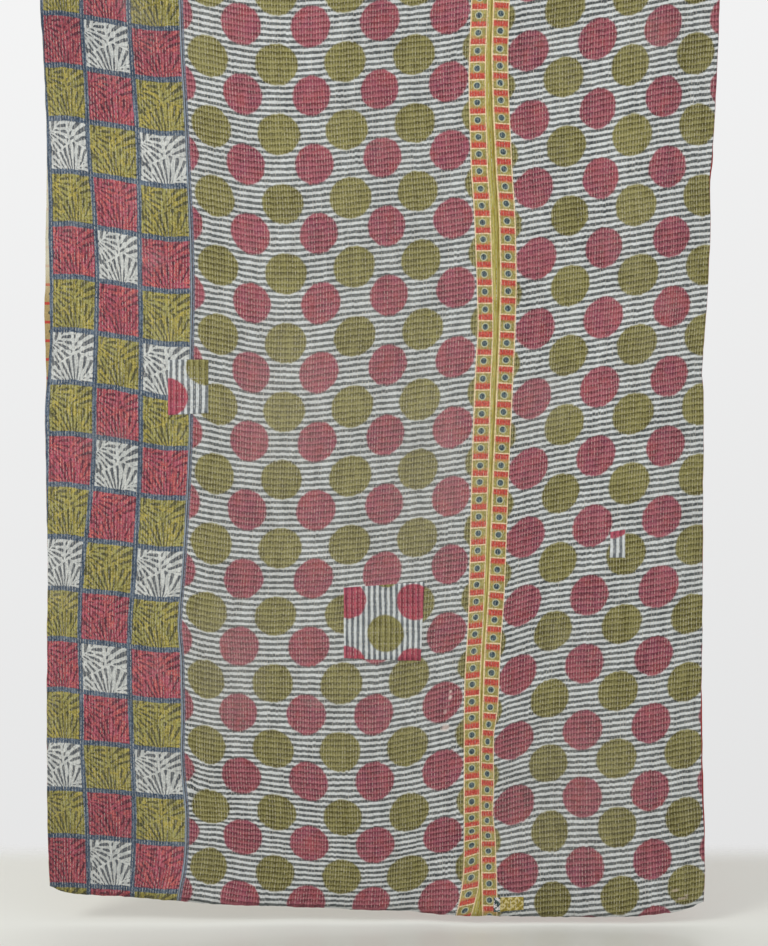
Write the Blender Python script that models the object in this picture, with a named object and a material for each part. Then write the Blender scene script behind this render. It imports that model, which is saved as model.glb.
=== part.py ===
"""Kantha quilt, hanging from its top edge.

Metres, +Z up.  The top edge's middle is at the origin, the cloth hangs down
-Z and its face looks along -Y.  Every layer is a thin closed solid.  All
layers lie on one gently folded surface, y = fold_height(x, z), and stand a
hair's breadth apart from each other along Y.
"""
import math

import bmesh
import bpy
from mathutils import Vector

# ------------------------------------------------------------ named sizes
LENGTH = 2.173          # top edge to the lowest point of the bottom hem
PANEL_THICKNESS = 0.0012   # one printed face panel with its stitching
BACK_THICKNESS = 0.0016    # the old cloths layered behind the face
PATCH_THICKNESS = 0.0010   # a scrap with its turned-in edges
AIR = 0.0003            # between any two pieces
ROWS = 36               # rows of facets down the quilt
STRIP_COLUMNS = 5       # columns of facets across each panel
CENTRE_COLUMNS = 11
RIGHT_COLUMNS = 8

# ------------------------------------------------- outline and seam tables
# Columns: share of the way down (0 top edge, 1 bottom hem), x of the line.
LEFT_EDGE = [
    (0.000, -0.731), (0.092, -0.727), (0.136, -0.722), (0.209, -0.717),
    (0.268, -0.717), (0.327, -0.722), (0.387, -0.726), (0.446, -0.725),
    (0.505, -0.729), (0.556, -0.728), (0.647, -0.726), (0.740, -0.729),
    (0.830, -0.731), (0.923, -0.732), (1.000, -0.728),
]
LEFT_SEAM = [
    (0.000, -0.433), (0.092, -0.430), (0.179, -0.425), (0.267, -0.418),
    (0.326, -0.410), (0.386, -0.409), (0.445, -0.412), (0.504, -0.413),
    (0.556, -0.422), (0.600, -0.424), (0.648, -0.430), (0.708, -0.439),
    (0.768, -0.440), (0.830, -0.438), (0.890, -0.433), (1.000, -0.437),
]
RIGHT_SEAM = [
    (0.000, 0.229), (0.092, 0.231), (0.267, 0.243), (0.415, 0.2465),
    (0.555, 0.237), (0.706, 0.2185), (0.858, 0.2087), (1.000, 0.2096),
]
RIGHT_EDGE = [
    (0.000, 0.715), (0.092, 0.712), (0.179, 0.708), (0.238, 0.701),
    (0.267, 0.696), (0.296, 0.698), (0.326, 0.699), (0.400, 0.692),
    (0.453, 0.6835), (0.474, 0.687), (0.554, 0.689), (0.705, 0.690),
    (0.810, 0.688), (0.887, 0.692), (0.948, 0.698), (1.000, 0.696),
]
# Columns: x, how far the bottom hem rises above the lowest point there.
BOTTOM_HEM = [
    (-0.730, 0.070), (-0.700, 0.058), (-0.668, 0.052), (-0.568, 0.046),
    (-0.443, 0.036), (-0.312, 0.026), (-0.179, 0.020), (0.000, 0.013),
    (0.157, 0.004), (0.264, 0.000), (0.400, 0.000), (0.527, 0.000),
    (0.600, 0.004), (0.640, 0.012), (0.670, 0.022), (0.698, 0.036),
]
LEAST_SHOW = 0.0005     # the backing's rolled edge, where it barely shows
# Columns: share of the way down, how far the backing shows past the face.
BACKING_SHOWS_LEFT = [
    (0.000, 0.0005), (0.268, 0.0005), (0.300, 0.0045), (0.372, 0.0050),
    (0.430, 0.0040), (0.470, 0.0005), (1.000, 0.0005),
]
BACKING_SHOWS_RIGHT = [
    (0.000, 0.0005), (0.225, 0.0005), (0.252, 0.0030), (0.280, 0.0005),
    (0.760, 0.0005), (0.800, 0.0025), (0.850, 0.0025), (0.900, 0.0030),
    (0.950, 0.0005), (1.000, 0.0005),
]
OUT_LEFT, OUT_RIGHT = -1.0, 4.0     # the backing's two outermost column lines

# --------------------------------------------------------- folds and creases
# Each row is one soft fold: it runs from (x0, z0) to (x1, z1), fades out over
# "fade" past each end, is "half" wide and stands "out" towards the viewer
# (a negative value is a trough).
FOLDS = [
    # name                   x0      z0      x1      z1     half    out    fade
    ("seam ridge",         -0.430, -0.05, -0.425, -2.05, 0.050, 0.0035, 0.10),
    ("strip trough",       -0.590, -0.10, -0.570, -1.95, 0.085, -0.0060, 0.20),
    ("left hollow",        -0.300, -0.20, -0.260, -1.85, 0.080, -0.0065, 0.25),
    ("middle swell",       -0.090, -0.10, -0.060, -2.10, 0.095, 0.0070, 0.25),
    ("hollow by border",    0.110, -0.15,  0.090, -1.95, 0.065, -0.0050, 0.20),
    ("border ridge",        0.235, -0.02,  0.215, -2.15, 0.055, 0.0055, 0.10),
    ("right hollow",        0.400, -0.20,  0.390, -1.80, 0.090, -0.0075, 0.25),
    ("right swell",         0.585, -0.10,  0.560, -2.00, 0.075, 0.0050, 0.20),
    ("right edge curl",     0.700, -0.45,  0.690, -1.45, 0.060, -0.0110, 0.25),
    ("left edge curl",     -0.740, -0.45, -0.735, -1.05, 0.060, -0.0080, 0.20),
    ("hem flare left",     -0.620, -2.12, -0.300, -2.16, 0.075, 0.0070, 0.12),
    ("hem dip",            -0.200, -2.15,  0.050, -2.17, 0.060, -0.0060, 0.10),
    ("hem flare right",     0.180, -2.17,  0.600, -2.15, 0.085, 0.0090, 0.12),
    ("cross crease low",   -0.440, -1.88, -0.230, -1.93, 0.045, -0.0050, 0.08),
    ("cross crease mid",   -0.400, -1.40,  0.020, -1.46, 0.055, 0.0035, 0.10),
    ("cross crease high",   0.280, -0.86,  0.640, -0.80, 0.060, -0.0040, 0.10),
    ("old fold line",      -0.700, -1.08,  0.680, -1.09, 0.045, 0.0040, 0.05),
]

# ------------------------------------------------------------------ patches
# Columns: name, then the corners (x, z) from the top left, clockwise.
PATCHES = [
    ("patch_large", (-0.0865, -1.450), (0.0875, -1.4395),
     (0.0795, -1.612), (-0.0865, -1.604)),
    ("patch_seam", (-0.4625, -0.9610), (-0.3765, -0.9605),
     (-0.3770, -1.0755), (-0.4630, -1.0795)),
    ("patch_small", (0.4880, -1.3310), (0.5190, -1.3255),
     (0.5190, -1.3865), (0.4865, -1.3865)),
    ("patch_hem", (0.2380, -2.1310), (0.3035, -2.1300),
     (0.3035, -2.1600), (0.2380, -2.1620)),
]

# Columns: name, base colour (linear), roughness.
FINISHES = {
    "left_strip": ((0.16, 0.10, 0.08), 0.92),
    "centre_panel": ((0.30, 0.27, 0.24), 0.92),
    "right_panel": ((0.30, 0.27, 0.24), 0.92),
    "backing": ((0.42, 0.24, 0.08), 0.94),
    "patch_large": ((0.33, 0.28, 0.25), 0.92),
    "patch_seam": ((0.31, 0.24, 0.20), 0.92),
    "patch_small": ((0.36, 0.33, 0.31), 0.92),
    "patch_hem": ((0.32, 0.27, 0.10), 0.92),
}


def along(table, t):
    """Smooth reading of a two-column table at t, a cubic through its rows."""
    if t <= table[0][0]:
        return table[0][1]
    last = len(table) - 1
    for k in range(last):
        (t0, v0), (t1, v1) = table[k], table[k + 1]
        if t <= t1:
            (ta, va), (tb, vb) = table[max(k - 1, 0)], table[min(k + 2, last)]
            span = t1 - t0
            m0 = (v1 - va) / (t1 - ta) * span
            m1 = (vb - v0) / (tb - t0) * span
            s = (t - t0) / span
            return ((2 * s ** 3 - 3 * s ** 2 + 1) * v0
                    + (s ** 3 - 2 * s ** 2 + s) * m0
                    + (-2 * s ** 3 + 3 * s ** 2) * v1
                    + (s ** 3 - s ** 2) * m1)
    return table[-1][1]


def fold_height(x, z):
    """How far the folds push the cloth towards the viewer at (x, z)."""
    total = 0.0
    for _, x0, z0, x1, z1, half, out, fade in FOLDS:
        dx, dz = x1 - x0, z1 - z0
        run = math.hypot(dx, dz)
        s = ((x - x0) * dx + (z - z0) * dz) / run
        across = ((x - x0) * dz - (z - z0) * dx) / run
        past = max(0.0, -s, s - run)
        total += out * math.exp(-(across / half) ** 2 - (past / fade) ** 2)
    # The hem swings slightly towards the viewer, as a hung quilt does.
    return total + 0.004 * (-z / LENGTH) ** 2


def line_x(u, v):
    """x at share v of the way down on column line u (0 left ... 3 right)."""
    if u == OUT_LEFT:
        return along(LEFT_EDGE, v) - max(
            LEAST_SHOW, along(BACKING_SHOWS_LEFT, v))
    if u == OUT_RIGHT:
        return along(RIGHT_EDGE, v) + max(
            LEAST_SHOW, along(BACKING_SHOWS_RIGHT, v))
    if u <= 1.0:
        a, b, s = LEFT_EDGE, LEFT_SEAM, u
    elif u <= 2.0:
        a, b, s = LEFT_SEAM, RIGHT_SEAM, u - 1.0
    else:
        a, b, s = RIGHT_SEAM, RIGHT_EDGE, u - 2.0
    xa, xb = along(a, v), along(b, v)
    return xa + (xb - xa) * s


def hang_z(x, v):
    """z at share v of the way down, so that the last row is the hem."""
    return -v * (LENGTH - along(BOTTOM_HEM, x) * v * v)


def face_grid(name, columns, shift_left=0.0, shift_right=0.0):
    """An open grid on the folded surface, covering the given column lines.

    columns lists the column lines' positions u.  The two outer lines can be
    shifted along X by a distance.
    """
    bpy.ops.mesh.primitive_grid_add(
        x_subdivisions=len(columns) - 1, y_subdivisions=ROWS, size=2.0)
    obj = bpy.context.object
    obj.name = name
    obj.data.name = name
    for vert in obj.data.vertices:
        i = round((vert.co.x + 1.0) / 2.0 * (len(columns) - 1))
        v = (1.0 - vert.co.y) / 2.0
        x = line_x(columns[i], v)
        if i == 0:
            x += shift_left
        if i == len(columns) - 1:
            x += shift_right
        z = hang_z(x, v)
        vert.co = (x, -fold_height(x, z), z)
    return obj


def thicken(obj, front, thickness):
    """Turn an open grid into a closed solid whose face lies "front" ahead."""
    bm = bmesh.new()
    bm.from_mesh(obj.data)
    bmesh.ops.triangulate(bm, faces=bm.faces[:], quad_method='FIXED')
    bmesh.ops.translate(bm, verts=bm.verts[:], vec=Vector((0, -front, 0)))
    made = bmesh.ops.extrude_face_region(bm, geom=bm.faces[:],
                                         use_keep_orig=True)
    moved = [g for g in made["geom"] if isinstance(g, bmesh.types.BMVert)]
    bmesh.ops.translate(bm, verts=moved, vec=Vector((0, thickness, 0)))
    bmesh.ops.recalc_face_normals(bm, faces=bm.faces[:])
    bm.to_mesh(obj.data)
    bm.free()


def cut_patch(name, corners, sheet, front):
    """Cut a scrap out of a copy of the sheet's facets and thicken it."""
    obj = bpy.data.objects.new(name, sheet.data.copy())
    obj.data.name = name
    bpy.context.scene.collection.objects.link(obj)
    middle = Vector((sum(c[0] for c in corners) / 4.0, 0.0,
                     sum(c[1] for c in corners) / 4.0))
    bm = bmesh.new()
    bm.from_mesh(obj.data)
    bmesh.ops.triangulate(bm, faces=bm.faces[:], quad_method='FIXED')
    for (x0, z0), (x1, z1) in zip(corners, corners[1:] + corners[:1]):
        point = Vector((x0, 0.0, z0))
        side = Vector((z1 - z0, 0.0, x0 - x1)).normalized()
        if (middle - point).dot(side) > 0.0:
            side = -side
        bmesh.ops.bisect_plane(
            bm, geom=bm.verts[:] + bm.edges[:] + bm.faces[:],
            plane_co=point, plane_no=side, clear_outer=True)
    bm.to_mesh(obj.data)
    bm.free()
    thicken(obj, front, PATCH_THICKNESS)
    return obj


def finish(obj, quilt):
    colour, roughness = FINISHES[obj.name]
    mat = bpy.data.materials.new(obj.name + "_cloth")
    mat.use_nodes = True
    shader = mat.node_tree.nodes["Principled BSDF"]
    shader.inputs["Base Color"].default_value = (*colour, 1.0)
    shader.inputs["Roughness"].default_value = roughness
    shader.inputs["Metallic"].default_value = 0.0
    mat.diffuse_color = (*colour, 1.0)
    obj.data.materials.clear()
    obj.data.materials.append(mat)
    for old in list(obj.users_collection):
        old.objects.unlink(obj)
    quilt.objects.link(obj)


def column_lines(first, count):
    return [first + i / count for i in range(count + 1)]


def main():
    for obj in list(bpy.data.objects):
        bpy.data.objects.remove(obj, do_unlink=True)
    quilt = bpy.data.collections.new("kantha_quilt")
    bpy.context.scene.collection.children.link(quilt)

    strip = column_lines(0.0, STRIP_COLUMNS)
    centre = column_lines(1.0, CENTRE_COLUMNS)
    right = column_lines(2.0, RIGHT_COLUMNS)
    panel_front = AIR + PANEL_THICKNESS
    half_seam = AIR / 2.0 + 0.00005

    pieces = []
    for name, columns, left_in, right_in in (
            ("left_strip", strip, 0.0, -half_seam),
            ("centre_panel", centre, half_seam, -half_seam),
            ("right_panel", right, half_seam, 0.0)):
        obj = face_grid(name, columns, left_in, right_in)
        thicken(obj, panel_front, PANEL_THICKNESS)
        pieces.append(obj)

    # The backing carries the same column lines, so its facets run parallel
    # to those of the panels in front of it.
    backing = face_grid(
        "backing",
        [OUT_LEFT] + strip + centre[1:] + right[1:] + [OUT_RIGHT])
    patch_front = panel_front + AIR + PATCH_THICKNESS
    for name, *corners in PATCHES:
        pieces.append(cut_patch(name, corners, backing, patch_front))
    thicken(backing, 0.0, BACK_THICKNESS)
    pieces.append(backing)

    for obj in pieces:
        finish(obj, quilt)


main()
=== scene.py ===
"""Looks of the hanging kantha quilt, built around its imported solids.

Metres, +Z up.  The top edge's middle is at the origin, the cloth hangs down
-Z and its face looks along -Y.  Each cloth is a dense closed sheet on the
same folded surface as its solid, with the ribs that the running stitches
pull into it.  Three UV maps go with a sheet: "Cloth" holds the place in the
printed cloth before it was sewn, in metres, "Rows" the place among the rows
of running stitches, and "OFBake" is a plain layout.
"""
import math

import bpy  # noqa: E402
import numpy as np  # noqa: E402
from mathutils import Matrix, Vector  # noqa: E402


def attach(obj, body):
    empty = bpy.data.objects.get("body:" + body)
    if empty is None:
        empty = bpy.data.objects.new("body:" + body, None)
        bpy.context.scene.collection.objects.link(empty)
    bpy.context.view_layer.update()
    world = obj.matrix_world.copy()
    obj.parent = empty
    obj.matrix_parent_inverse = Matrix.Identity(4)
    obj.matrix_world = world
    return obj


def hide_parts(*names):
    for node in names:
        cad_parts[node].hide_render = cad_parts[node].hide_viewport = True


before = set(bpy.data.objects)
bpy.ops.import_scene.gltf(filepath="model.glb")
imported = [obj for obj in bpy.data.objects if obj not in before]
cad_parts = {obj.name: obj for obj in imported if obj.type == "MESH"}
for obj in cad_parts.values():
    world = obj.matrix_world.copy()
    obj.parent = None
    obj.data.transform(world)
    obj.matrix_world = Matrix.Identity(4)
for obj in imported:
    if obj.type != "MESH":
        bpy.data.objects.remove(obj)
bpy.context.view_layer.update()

# ------------------------------------------------------------ named sizes
LENGTH = 2.173
PANEL_FRONT = 0.0015     # face of a panel, in front of the folded surface
PANEL_BACK = 0.0003
BACKING_BACK = -0.0016
PATCH_FRONT = 0.0028
ROWS = 155               # rows of facets down each cloth
STITCH = 0.0104          # one running stitch and its gap
STITCH_SHARE = 0.93      # how much of that is thread
ROW_GAP = 0.00597        # between two rows of stitches
REPEAT = 0.147           # the dot print's repeat, both ways
ROW0 = 0.25              # a row of crimson dots lies this far down the cloth

# ------------------------------------------------- outline and seam tables
# Columns: share of the way down (0 top edge, 1 bottom hem), x of the line.
LEFT_EDGE = [
    (0.000, -0.7320), (0.092, -0.7300), (0.136, -0.7255), (0.209, -0.7205),
    (0.268, -0.7195), (0.327, -0.7215), (0.387, -0.7225), (0.446, -0.7235),
    (0.505, -0.729), (0.556, -0.728), (0.647, -0.726), (0.740, -0.729),
    (0.830, -0.731), (0.923, -0.732), (1.000, -0.728),
]
LEFT_SEAM = [
    (0.000, -0.4330), (0.092, -0.4300), (0.150, -0.4265), (0.179, -0.4228),
    (0.222, -0.4185), (0.267, -0.4150), (0.326, -0.4100), (0.386, -0.4090),
    (0.445, -0.4120), (0.504, -0.4138), (0.556, -0.4180), (0.604, -0.4242),
    (0.650, -0.4305), (0.712, -0.4410), (0.742, -0.4362), (0.775, -0.4352),
    (0.805, -0.4340), (0.839, -0.4365), (0.873, -0.4345), (0.902, -0.4283),
    (0.927, -0.4277), (0.951, -0.4297), (0.970, -0.4345), (0.984, -0.4410),
    (1.000, -0.4465),
]
PRINT_SEAM = [   # the seam's general run, which the print follows
    (0.000, -0.433), (0.092, -0.430), (0.179, -0.425), (0.267, -0.418),
    (0.326, -0.410), (0.386, -0.409), (0.445, -0.412), (0.504, -0.413),
    (0.556, -0.422), (0.600, -0.424), (0.648, -0.430), (0.708, -0.439),
    (0.768, -0.440), (0.830, -0.438), (0.890, -0.433), (1.000, -0.437),
]
RIGHT_EDGE = [
    (0.000, 0.715), (0.092, 0.712), (0.179, 0.708), (0.238, 0.701),
    (0.267, 0.696), (0.296, 0.698), (0.326, 0.699), (0.400, 0.692),
    (0.453, 0.6835), (0.474, 0.687), (0.554, 0.689), (0.705, 0.690),
    (0.810, 0.688), (0.887, 0.692), (0.948, 0.698), (1.000, 0.696),
]
BOTTOM_HEM = [
    (-0.730, 0.070), (-0.700, 0.058), (-0.668, 0.052), (-0.568, 0.046),
    (-0.443, 0.036), (-0.312, 0.026), (-0.179, 0.020), (0.000, 0.013),
    (0.157, 0.005), (0.264, 0.005), (0.400, 0.002), (0.527, 0.003),
    (0.600, 0.008), (0.640, 0.014), (0.670, 0.023), (0.698, 0.036),
]
LEAST_SHOW = 0.0005
BACKING_SHOWS_LEFT = [
    (0.000, 0.0005), (0.255, 0.0005), (0.280, 0.0018), (0.340, 0.0034),
    (0.380, 0.0050), (0.400, 0.0065), (0.425, 0.0056), (0.455, 0.0022),
    (0.480, 0.0005), (1.000, 0.0005),
]
BACKING_SHOWS_RIGHT = [
    (0.000, 0.0005), (0.225, 0.0005), (0.252, 0.0030), (0.280, 0.0005),
    (0.760, 0.0005), (0.800, 0.0025), (0.850, 0.0025), (0.900, 0.0030),
    (0.950, 0.0005), (1.000, 0.0005),
]
STRIP_DRAWN_IN = [   # how far the strip's hem lies inside the quilt's edge
    (0.000, 0.0), (0.235, 0.0), (0.270, 0.0018), (0.320, 0.0034),
    (0.400, 0.0055), (0.445, 0.0035), (0.480, 0.0), (1.000, 0.0),
]
# Soft folds, as in the solids: x0, z0, x1, z1, half width, out, fade.
FOLDS = [
    (-0.430, -0.05, -0.425, -2.05, 0.050, 0.0035, 0.10),
    (-0.590, -0.10, -0.570, -1.95, 0.085, -0.0060, 0.20),
    (-0.300, -0.20, -0.260, -1.85, 0.080, -0.0065, 0.25),
    (-0.090, -0.10, -0.060, -2.10, 0.095, 0.0070, 0.25),
    (0.110, -0.15, 0.090, -1.95, 0.065, -0.0050, 0.20),
    (0.235, -0.02, 0.215, -2.15, 0.055, 0.0055, 0.10),
    (0.400, -0.20, 0.390, -1.80, 0.090, -0.0075, 0.25),
    (0.585, -0.10, 0.560, -2.00, 0.075, 0.0050, 0.20),
    (0.700, -0.45, 0.690, -1.45, 0.060, -0.0110, 0.25),
    (-0.740, -0.45, -0.735, -1.05, 0.060, -0.0080, 0.20),
    (-0.620, -2.12, -0.300, -2.16, 0.075, 0.0070, 0.12),
    (-0.200, -2.15, 0.050, -2.17, 0.060, -0.0060, 0.10),
    (0.180, -2.17, 0.600, -2.15, 0.085, 0.0090, 0.12),
    (-0.440, -1.88, -0.230, -1.93, 0.045, -0.0050, 0.08),
    (-0.400, -1.40, 0.020, -1.46, 0.055, 0.0035, 0.10),
    (0.280, -0.86, 0.640, -0.80, 0.060, -0.0040, 0.10),
    (-0.700, -1.08, 0.680, -1.09, 0.045, 0.0040, 0.05),
]
# Small creases that only the fine sheets carry, same columns.
CREASES = [
    (-0.425, -1.865, -0.310, -1.900, 0.014, -0.0022, 0.03),
    (-0.430, -1.945, -0.330, -1.965, 0.012, 0.0018, 0.03),
    (-0.420, -2.015, -0.300, -2.030, 0.013, -0.0020, 0.03),
    (-0.360, -1.600, -0.250, -1.640, 0.014, 0.0015, 0.04),
    (0.000, -1.640, 0.170, -1.600, 0.016, -0.0016, 0.04),
    (-0.100, -1.290, 0.060, -1.320, 0.018, 0.0014, 0.04),
    (0.230, -0.560, 0.330, -0.530, 0.015, -0.0016, 0.03),
    (0.240, -1.000, 0.340, -0.985, 0.015, 0.0014, 0.03),
    (0.480, -1.560, 0.640, -1.530, 0.018, -0.0016, 0.05),
    (-0.700, -1.180, -0.520, -1.160, 0.016, 0.0014, 0.04),
    (-0.660, -1.760, -0.500, -1.790, 0.018, -0.0016, 0.04),
    (0.150, -2.080, 0.215, -2.150, 0.016, -0.0030, 0.04),
    (-0.060, -2.100, -0.020, -2.170, 0.014, 0.0020, 0.03),
    (0.420, -2.090, 0.440, -2.170, 0.016, 0.0020, 0.03),
    (0.640, -0.230, 0.635, -0.420, 0.012, -0.0016, 0.04),
    (-0.405, -1.820, -0.395, -2.060, 0.013, -0.0016, 0.04),
]

# ------------------------------------------------------------- print tables
# Guide lines of the print.  Columns: z, x.
BAND_INNER = [     # outer edge of the centre panel's border band
    (0.000, 0.1860), (-0.200, 0.1844), (-0.313, 0.1805), (-0.376, 0.1796),
    (-0.439, 0.1809), (-0.502, 0.1832), (-0.566, 0.1855), (-0.629, 0.1904),
    (-0.757, 0.1963), (-0.884, 0.2002), (-0.949, 0.1971), (-1.013, 0.1939),
    (-1.142, 0.1895), (-1.271, 0.1866), (-1.401, 0.1842), (-1.531, 0.1807),
    (-1.662, 0.1738), (-1.794, 0.1729), (-1.926, 0.1734), (-2.058, 0.1727),
    (-2.104, 0.1689), (-2.149, 0.1605), (-2.175, 0.1545),
]
BAND_OUTER = [     # the cream line on the band's far side
    (0.000, 0.2225), (-0.200, 0.2205), (-0.313, 0.2166), (-0.376, 0.2158),
    (-0.439, 0.2170), (-0.502, 0.2194), (-0.566, 0.2217), (-0.629, 0.2262),
    (-0.757, 0.2309), (-0.884, 0.2340), (-0.949, 0.2320), (-1.013, 0.2295),
    (-1.142, 0.2262), (-1.271, 0.2226), (-1.401, 0.2188), (-1.531, 0.2142),
    (-1.662, 0.2083), (-1.794, 0.2083), (-1.926, 0.2080), (-2.058, 0.2080),
    (-2.104, 0.2060), (-2.149, 0.1950), (-2.175, 0.1872),
]
BAND_RIGHT = [     # where the right panel's print starts, at its seam
    (0.000, 0.2330), (-0.200, 0.2311), (-0.313, 0.2283), (-0.376, 0.2296),
    (-0.439, 0.2319), (-0.502, 0.2354), (-0.566, 0.2388), (-0.629, 0.2433),
    (-0.693, 0.2463), (-0.820, 0.2483), (-0.949, 0.2445), (-1.077, 0.2385),
    (-1.206, 0.2336), (-1.336, 0.2293), (-1.466, 0.2248), (-1.597, 0.2166),
    (-1.728, 0.2127), (-1.859, 0.2098), (-1.992, 0.2102), (-2.138, 0.2129),
    (-2.175, 0.2135),
]
BAND_AT = 0.6137         # the centre panel's band starts this far across
BAND_WIDE = 0.0372
RIGHT_BAND_WIDE = 0.0355
RIGHT_SCALE = 0.3705 / 0.367
# How far the print hangs lower (mm, negative: higher) than its place down
# the cloth.  First row: how far across; first column: z.
CENTRE_SAG = [
    (None, 0.00, 0.07, 0.15, 0.24, 0.33, 0.43, 0.53, 0.66),
    (0.00, 24, 10, -2, -7, -3, 8, 19, 37),
    (-0.30, 24, 10, -2, -7, -3, 8, 19, 37),
    (-0.60, 22, 9, -4, -4, 4, 15, 26, 44),
    (-0.90, 21, 9, -5, -7, 5, 15, 26, 43),
    (-1.20, 17, 4, -6, -7, -1, 9, 19, 40),
    (-1.50, 14, -2, -8, -8, -2, 7, 19, 38),
    (-1.70, 17, 0, -6, -8, -8, -6, 10, 43),
    (-1.90, 17, 8, 4, -5, -9, -5, 9, 40),
    (-1.98, 25.4, 18.5, 10.4, 2.1, -3.6, -2.9, 10.8, 40.1),
    (-2.05, 39, 32, 19, 12, 7, 5, 20, 40),
    (-2.17, 55, 40, 26, 19, 21, 21, 25, 37),
]
RIGHT_SAG = [
    (None, 0.00, 0.12, 0.26, 0.40, 0.50),
    (0.00, -71, -48, -24, 0, 16),
    (-0.30, -71, -48, -24, 0, 16),
    (-0.60, -66, -44, -25, -3, 10),
    (-0.90, -69, -49, -27, -5, 8),
    (-1.20, -79, -53, -30, -11, -2),
    (-1.50, -86, -55, -40, -21, -8),
    (-1.70, -91, -58, -40, -22, -7),
    (-1.90, -81, -49, -40, -22, -6),
    (-2.05, -71, -55, -46, -26, -9),
    (-2.17, -66, -56, -45, -22, -8),
]
# How far the print lies to the left (mm) of its place across the cloth.
CENTRE_ASIDE = [
    (None, 0.04, 0.095, 0.16, 0.24, 0.31, 0.38, 0.46, 0.53, 0.60),
    (-0.26, -1, 3, 3, 0, 2, 0, 1, -2, 0),
    (-0.70, -4, 0, 2, -2, 0, -3, 0, 0, -1),
    (-1.10, -5, -1, 1, -1, 0, -3, -1, -1, 0),
    (-1.38, -5, -1, 0, -5, -4, -7, -3, -5, 0),
    (-1.55, -3, 2, 2, 0, -2, -3, 0, 0, 2),
    (-1.78, -2, 5, 6, 3, 5, 4, 6, 4, 3),
    (-1.93, -5, 3, 0, 0, 0, 2, 3, 2, 2),
    (-2.08, -3, 5, 1, 2, 0, 2, 5, 2, 2),
]
RIGHT_ASIDE = [
    (None, 0.04, 0.12, 0.20, 0.27, 0.34, 0.41),
    (-0.26, -4, -4, -6, -2, 4, 8),
    (-0.55, -6, -4, -4, 2, 0, 3),
    (-0.95, -5, -2, -2, 0, -3, -1),
    (-1.35, -4, 0, 2, 2, 0, -2),
    (-1.80, 1, 3, 1, 2, 0, 1),
    (-2.08, -4, -7, -4, -6, -6, -6),
]
# Pinches by the left seam: x, z, reach across, up and down, then how much
# higher and how much further right the print lies there.
PINCHES = [
    (-0.437, -1.880, 0.034, 0.070, 0.018, 0.013, 0.000),
    (-0.420, -1.965, 0.070, 0.060, 0.075, 0.000, 0.008),
    (-0.424, -1.992, 0.026, 0.032, 0.030, 0.009, 0.000),
    (-0.367, -1.976, 0.034, 0.018, 0.030, 0.009, 0.000),
]
BAND_TILT = [      # how much the centre band's rungs rise to the right
    (0.000, 0.00), (-0.900, 0.00), (-1.200, 0.03), (-1.550, 0.11),
    (-1.800, 0.13), (-1.937, 0.16), (-1.985, 0.22), (-2.040, 0.32),
    (-2.110, 0.28), (-2.175, 0.26),
]
RIGHT_TILT = [
    (0.000, -0.05), (-1.400, -0.06), (-1.850, -0.07), (-1.990, 0.00),
    (-2.175, 0.00),
]
BAND_RISE = [      # how much higher the centre band's rungs lie
    (0.000, -0.0043), (-0.200, -0.0043), (-0.284, -0.0043),
    (-0.347, -0.0054), (-0.410, -0.0065), (-0.536, -0.0075),
    (-0.600, -0.0075), (-0.663, -0.0065), (-0.727, -0.0054),
    (-0.855, -0.0060), (-1.004, -0.0054), (-1.176, -0.0054),
    (-1.241, -0.0039), (-1.371, -0.0043), (-1.436, -0.0043),
    (-1.501, -0.0022), (-1.566, -0.0011), (-1.697, -0.0028),
    (-1.763, -0.0011), (-1.829, 0.0000), (-1.895, 0.0011),
    (-1.952, 0.0022), (-1.985, 0.0103), (-2.016, 0.0157),
    (-2.051, 0.0154), (-2.089, 0.0161), (-2.127, 0.0174),
    (-2.164, 0.0200), (-2.175, 0.0203),
]
RIGHT_DRAWN = [    # how much narrower the right band is there
    (0.000, 0.0), (-1.640, 0.0), (-1.700, 0.0008), (-1.741, 0.0040),
    (-1.763, 0.0080), (-1.829, 0.0075), (-1.885, 0.0060), (-1.928, 0.0078),
    (-1.961, 0.0068), (-1.988, 0.0035), (-2.027, 0.0022), (-2.175, 0.0020),
]
RIGHT_RISE = [
    (0.000, 0.0022), (-0.200, 0.0022), (-0.410, 0.0013), (-0.663, 0.0013),
    (-0.855, 0.0022), (-0.919, 0.0032), (-0.983, 0.0054), (-1.047, 0.0065),
    (-1.176, 0.0075), (-1.306, 0.0077), (-1.436, 0.0082), (-1.501, 0.0097),
    (-1.566, 0.0107), (-1.632, 0.0107), (-1.697, 0.0088), (-1.750, 0.0073),
    (-1.789, 0.0045), (-1.859, 0.0024), (-1.895, 0.0013), (-1.928, 0.0030),
    (-1.961, 0.0052), (-1.994, 0.0065), (-2.029, 0.0084), (-2.164, 0.0080),
    (-2.175, 0.0080),
]
# The check print: three grid lines down the strip, then for each column of
# squares the z of the squares' middles, the first one's number first.
CHECK_LINE_0 = [
    (0.000, -0.7240), (-0.242, -0.7266), (-0.326, -0.7252), (-0.410, -0.7210),
    (-0.515, -0.7141), (-0.621, -0.7127), (-0.727, -0.7128),
    (-0.833, -0.7137), (-0.940, -0.7171), (-1.047, -0.7230),
    (-1.219, -0.7274), (-1.349, -0.7306), (-1.479, -0.7340),
    (-1.697, -0.7397), (-1.917, -0.7421), (-2.175, -0.7424),
]
CHECK_LINE_1 = [
    (0.000, -0.6470), (-0.263, -0.6409), (-0.389, -0.6336),
    (-0.515, -0.6306), (-0.642, -0.6190), (-0.769, -0.6138),
    (-0.897, -0.6172), (-1.026, -0.6217), (-1.155, -0.6237),
    (-1.284, -0.6359), (-1.414, -0.6523), (-1.544, -0.6600),
    (-1.675, -0.6568), (-1.807, -0.6563), (-1.939, -0.6487),
    (-2.071, -0.6435), (-2.175, -0.6410),
]
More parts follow.
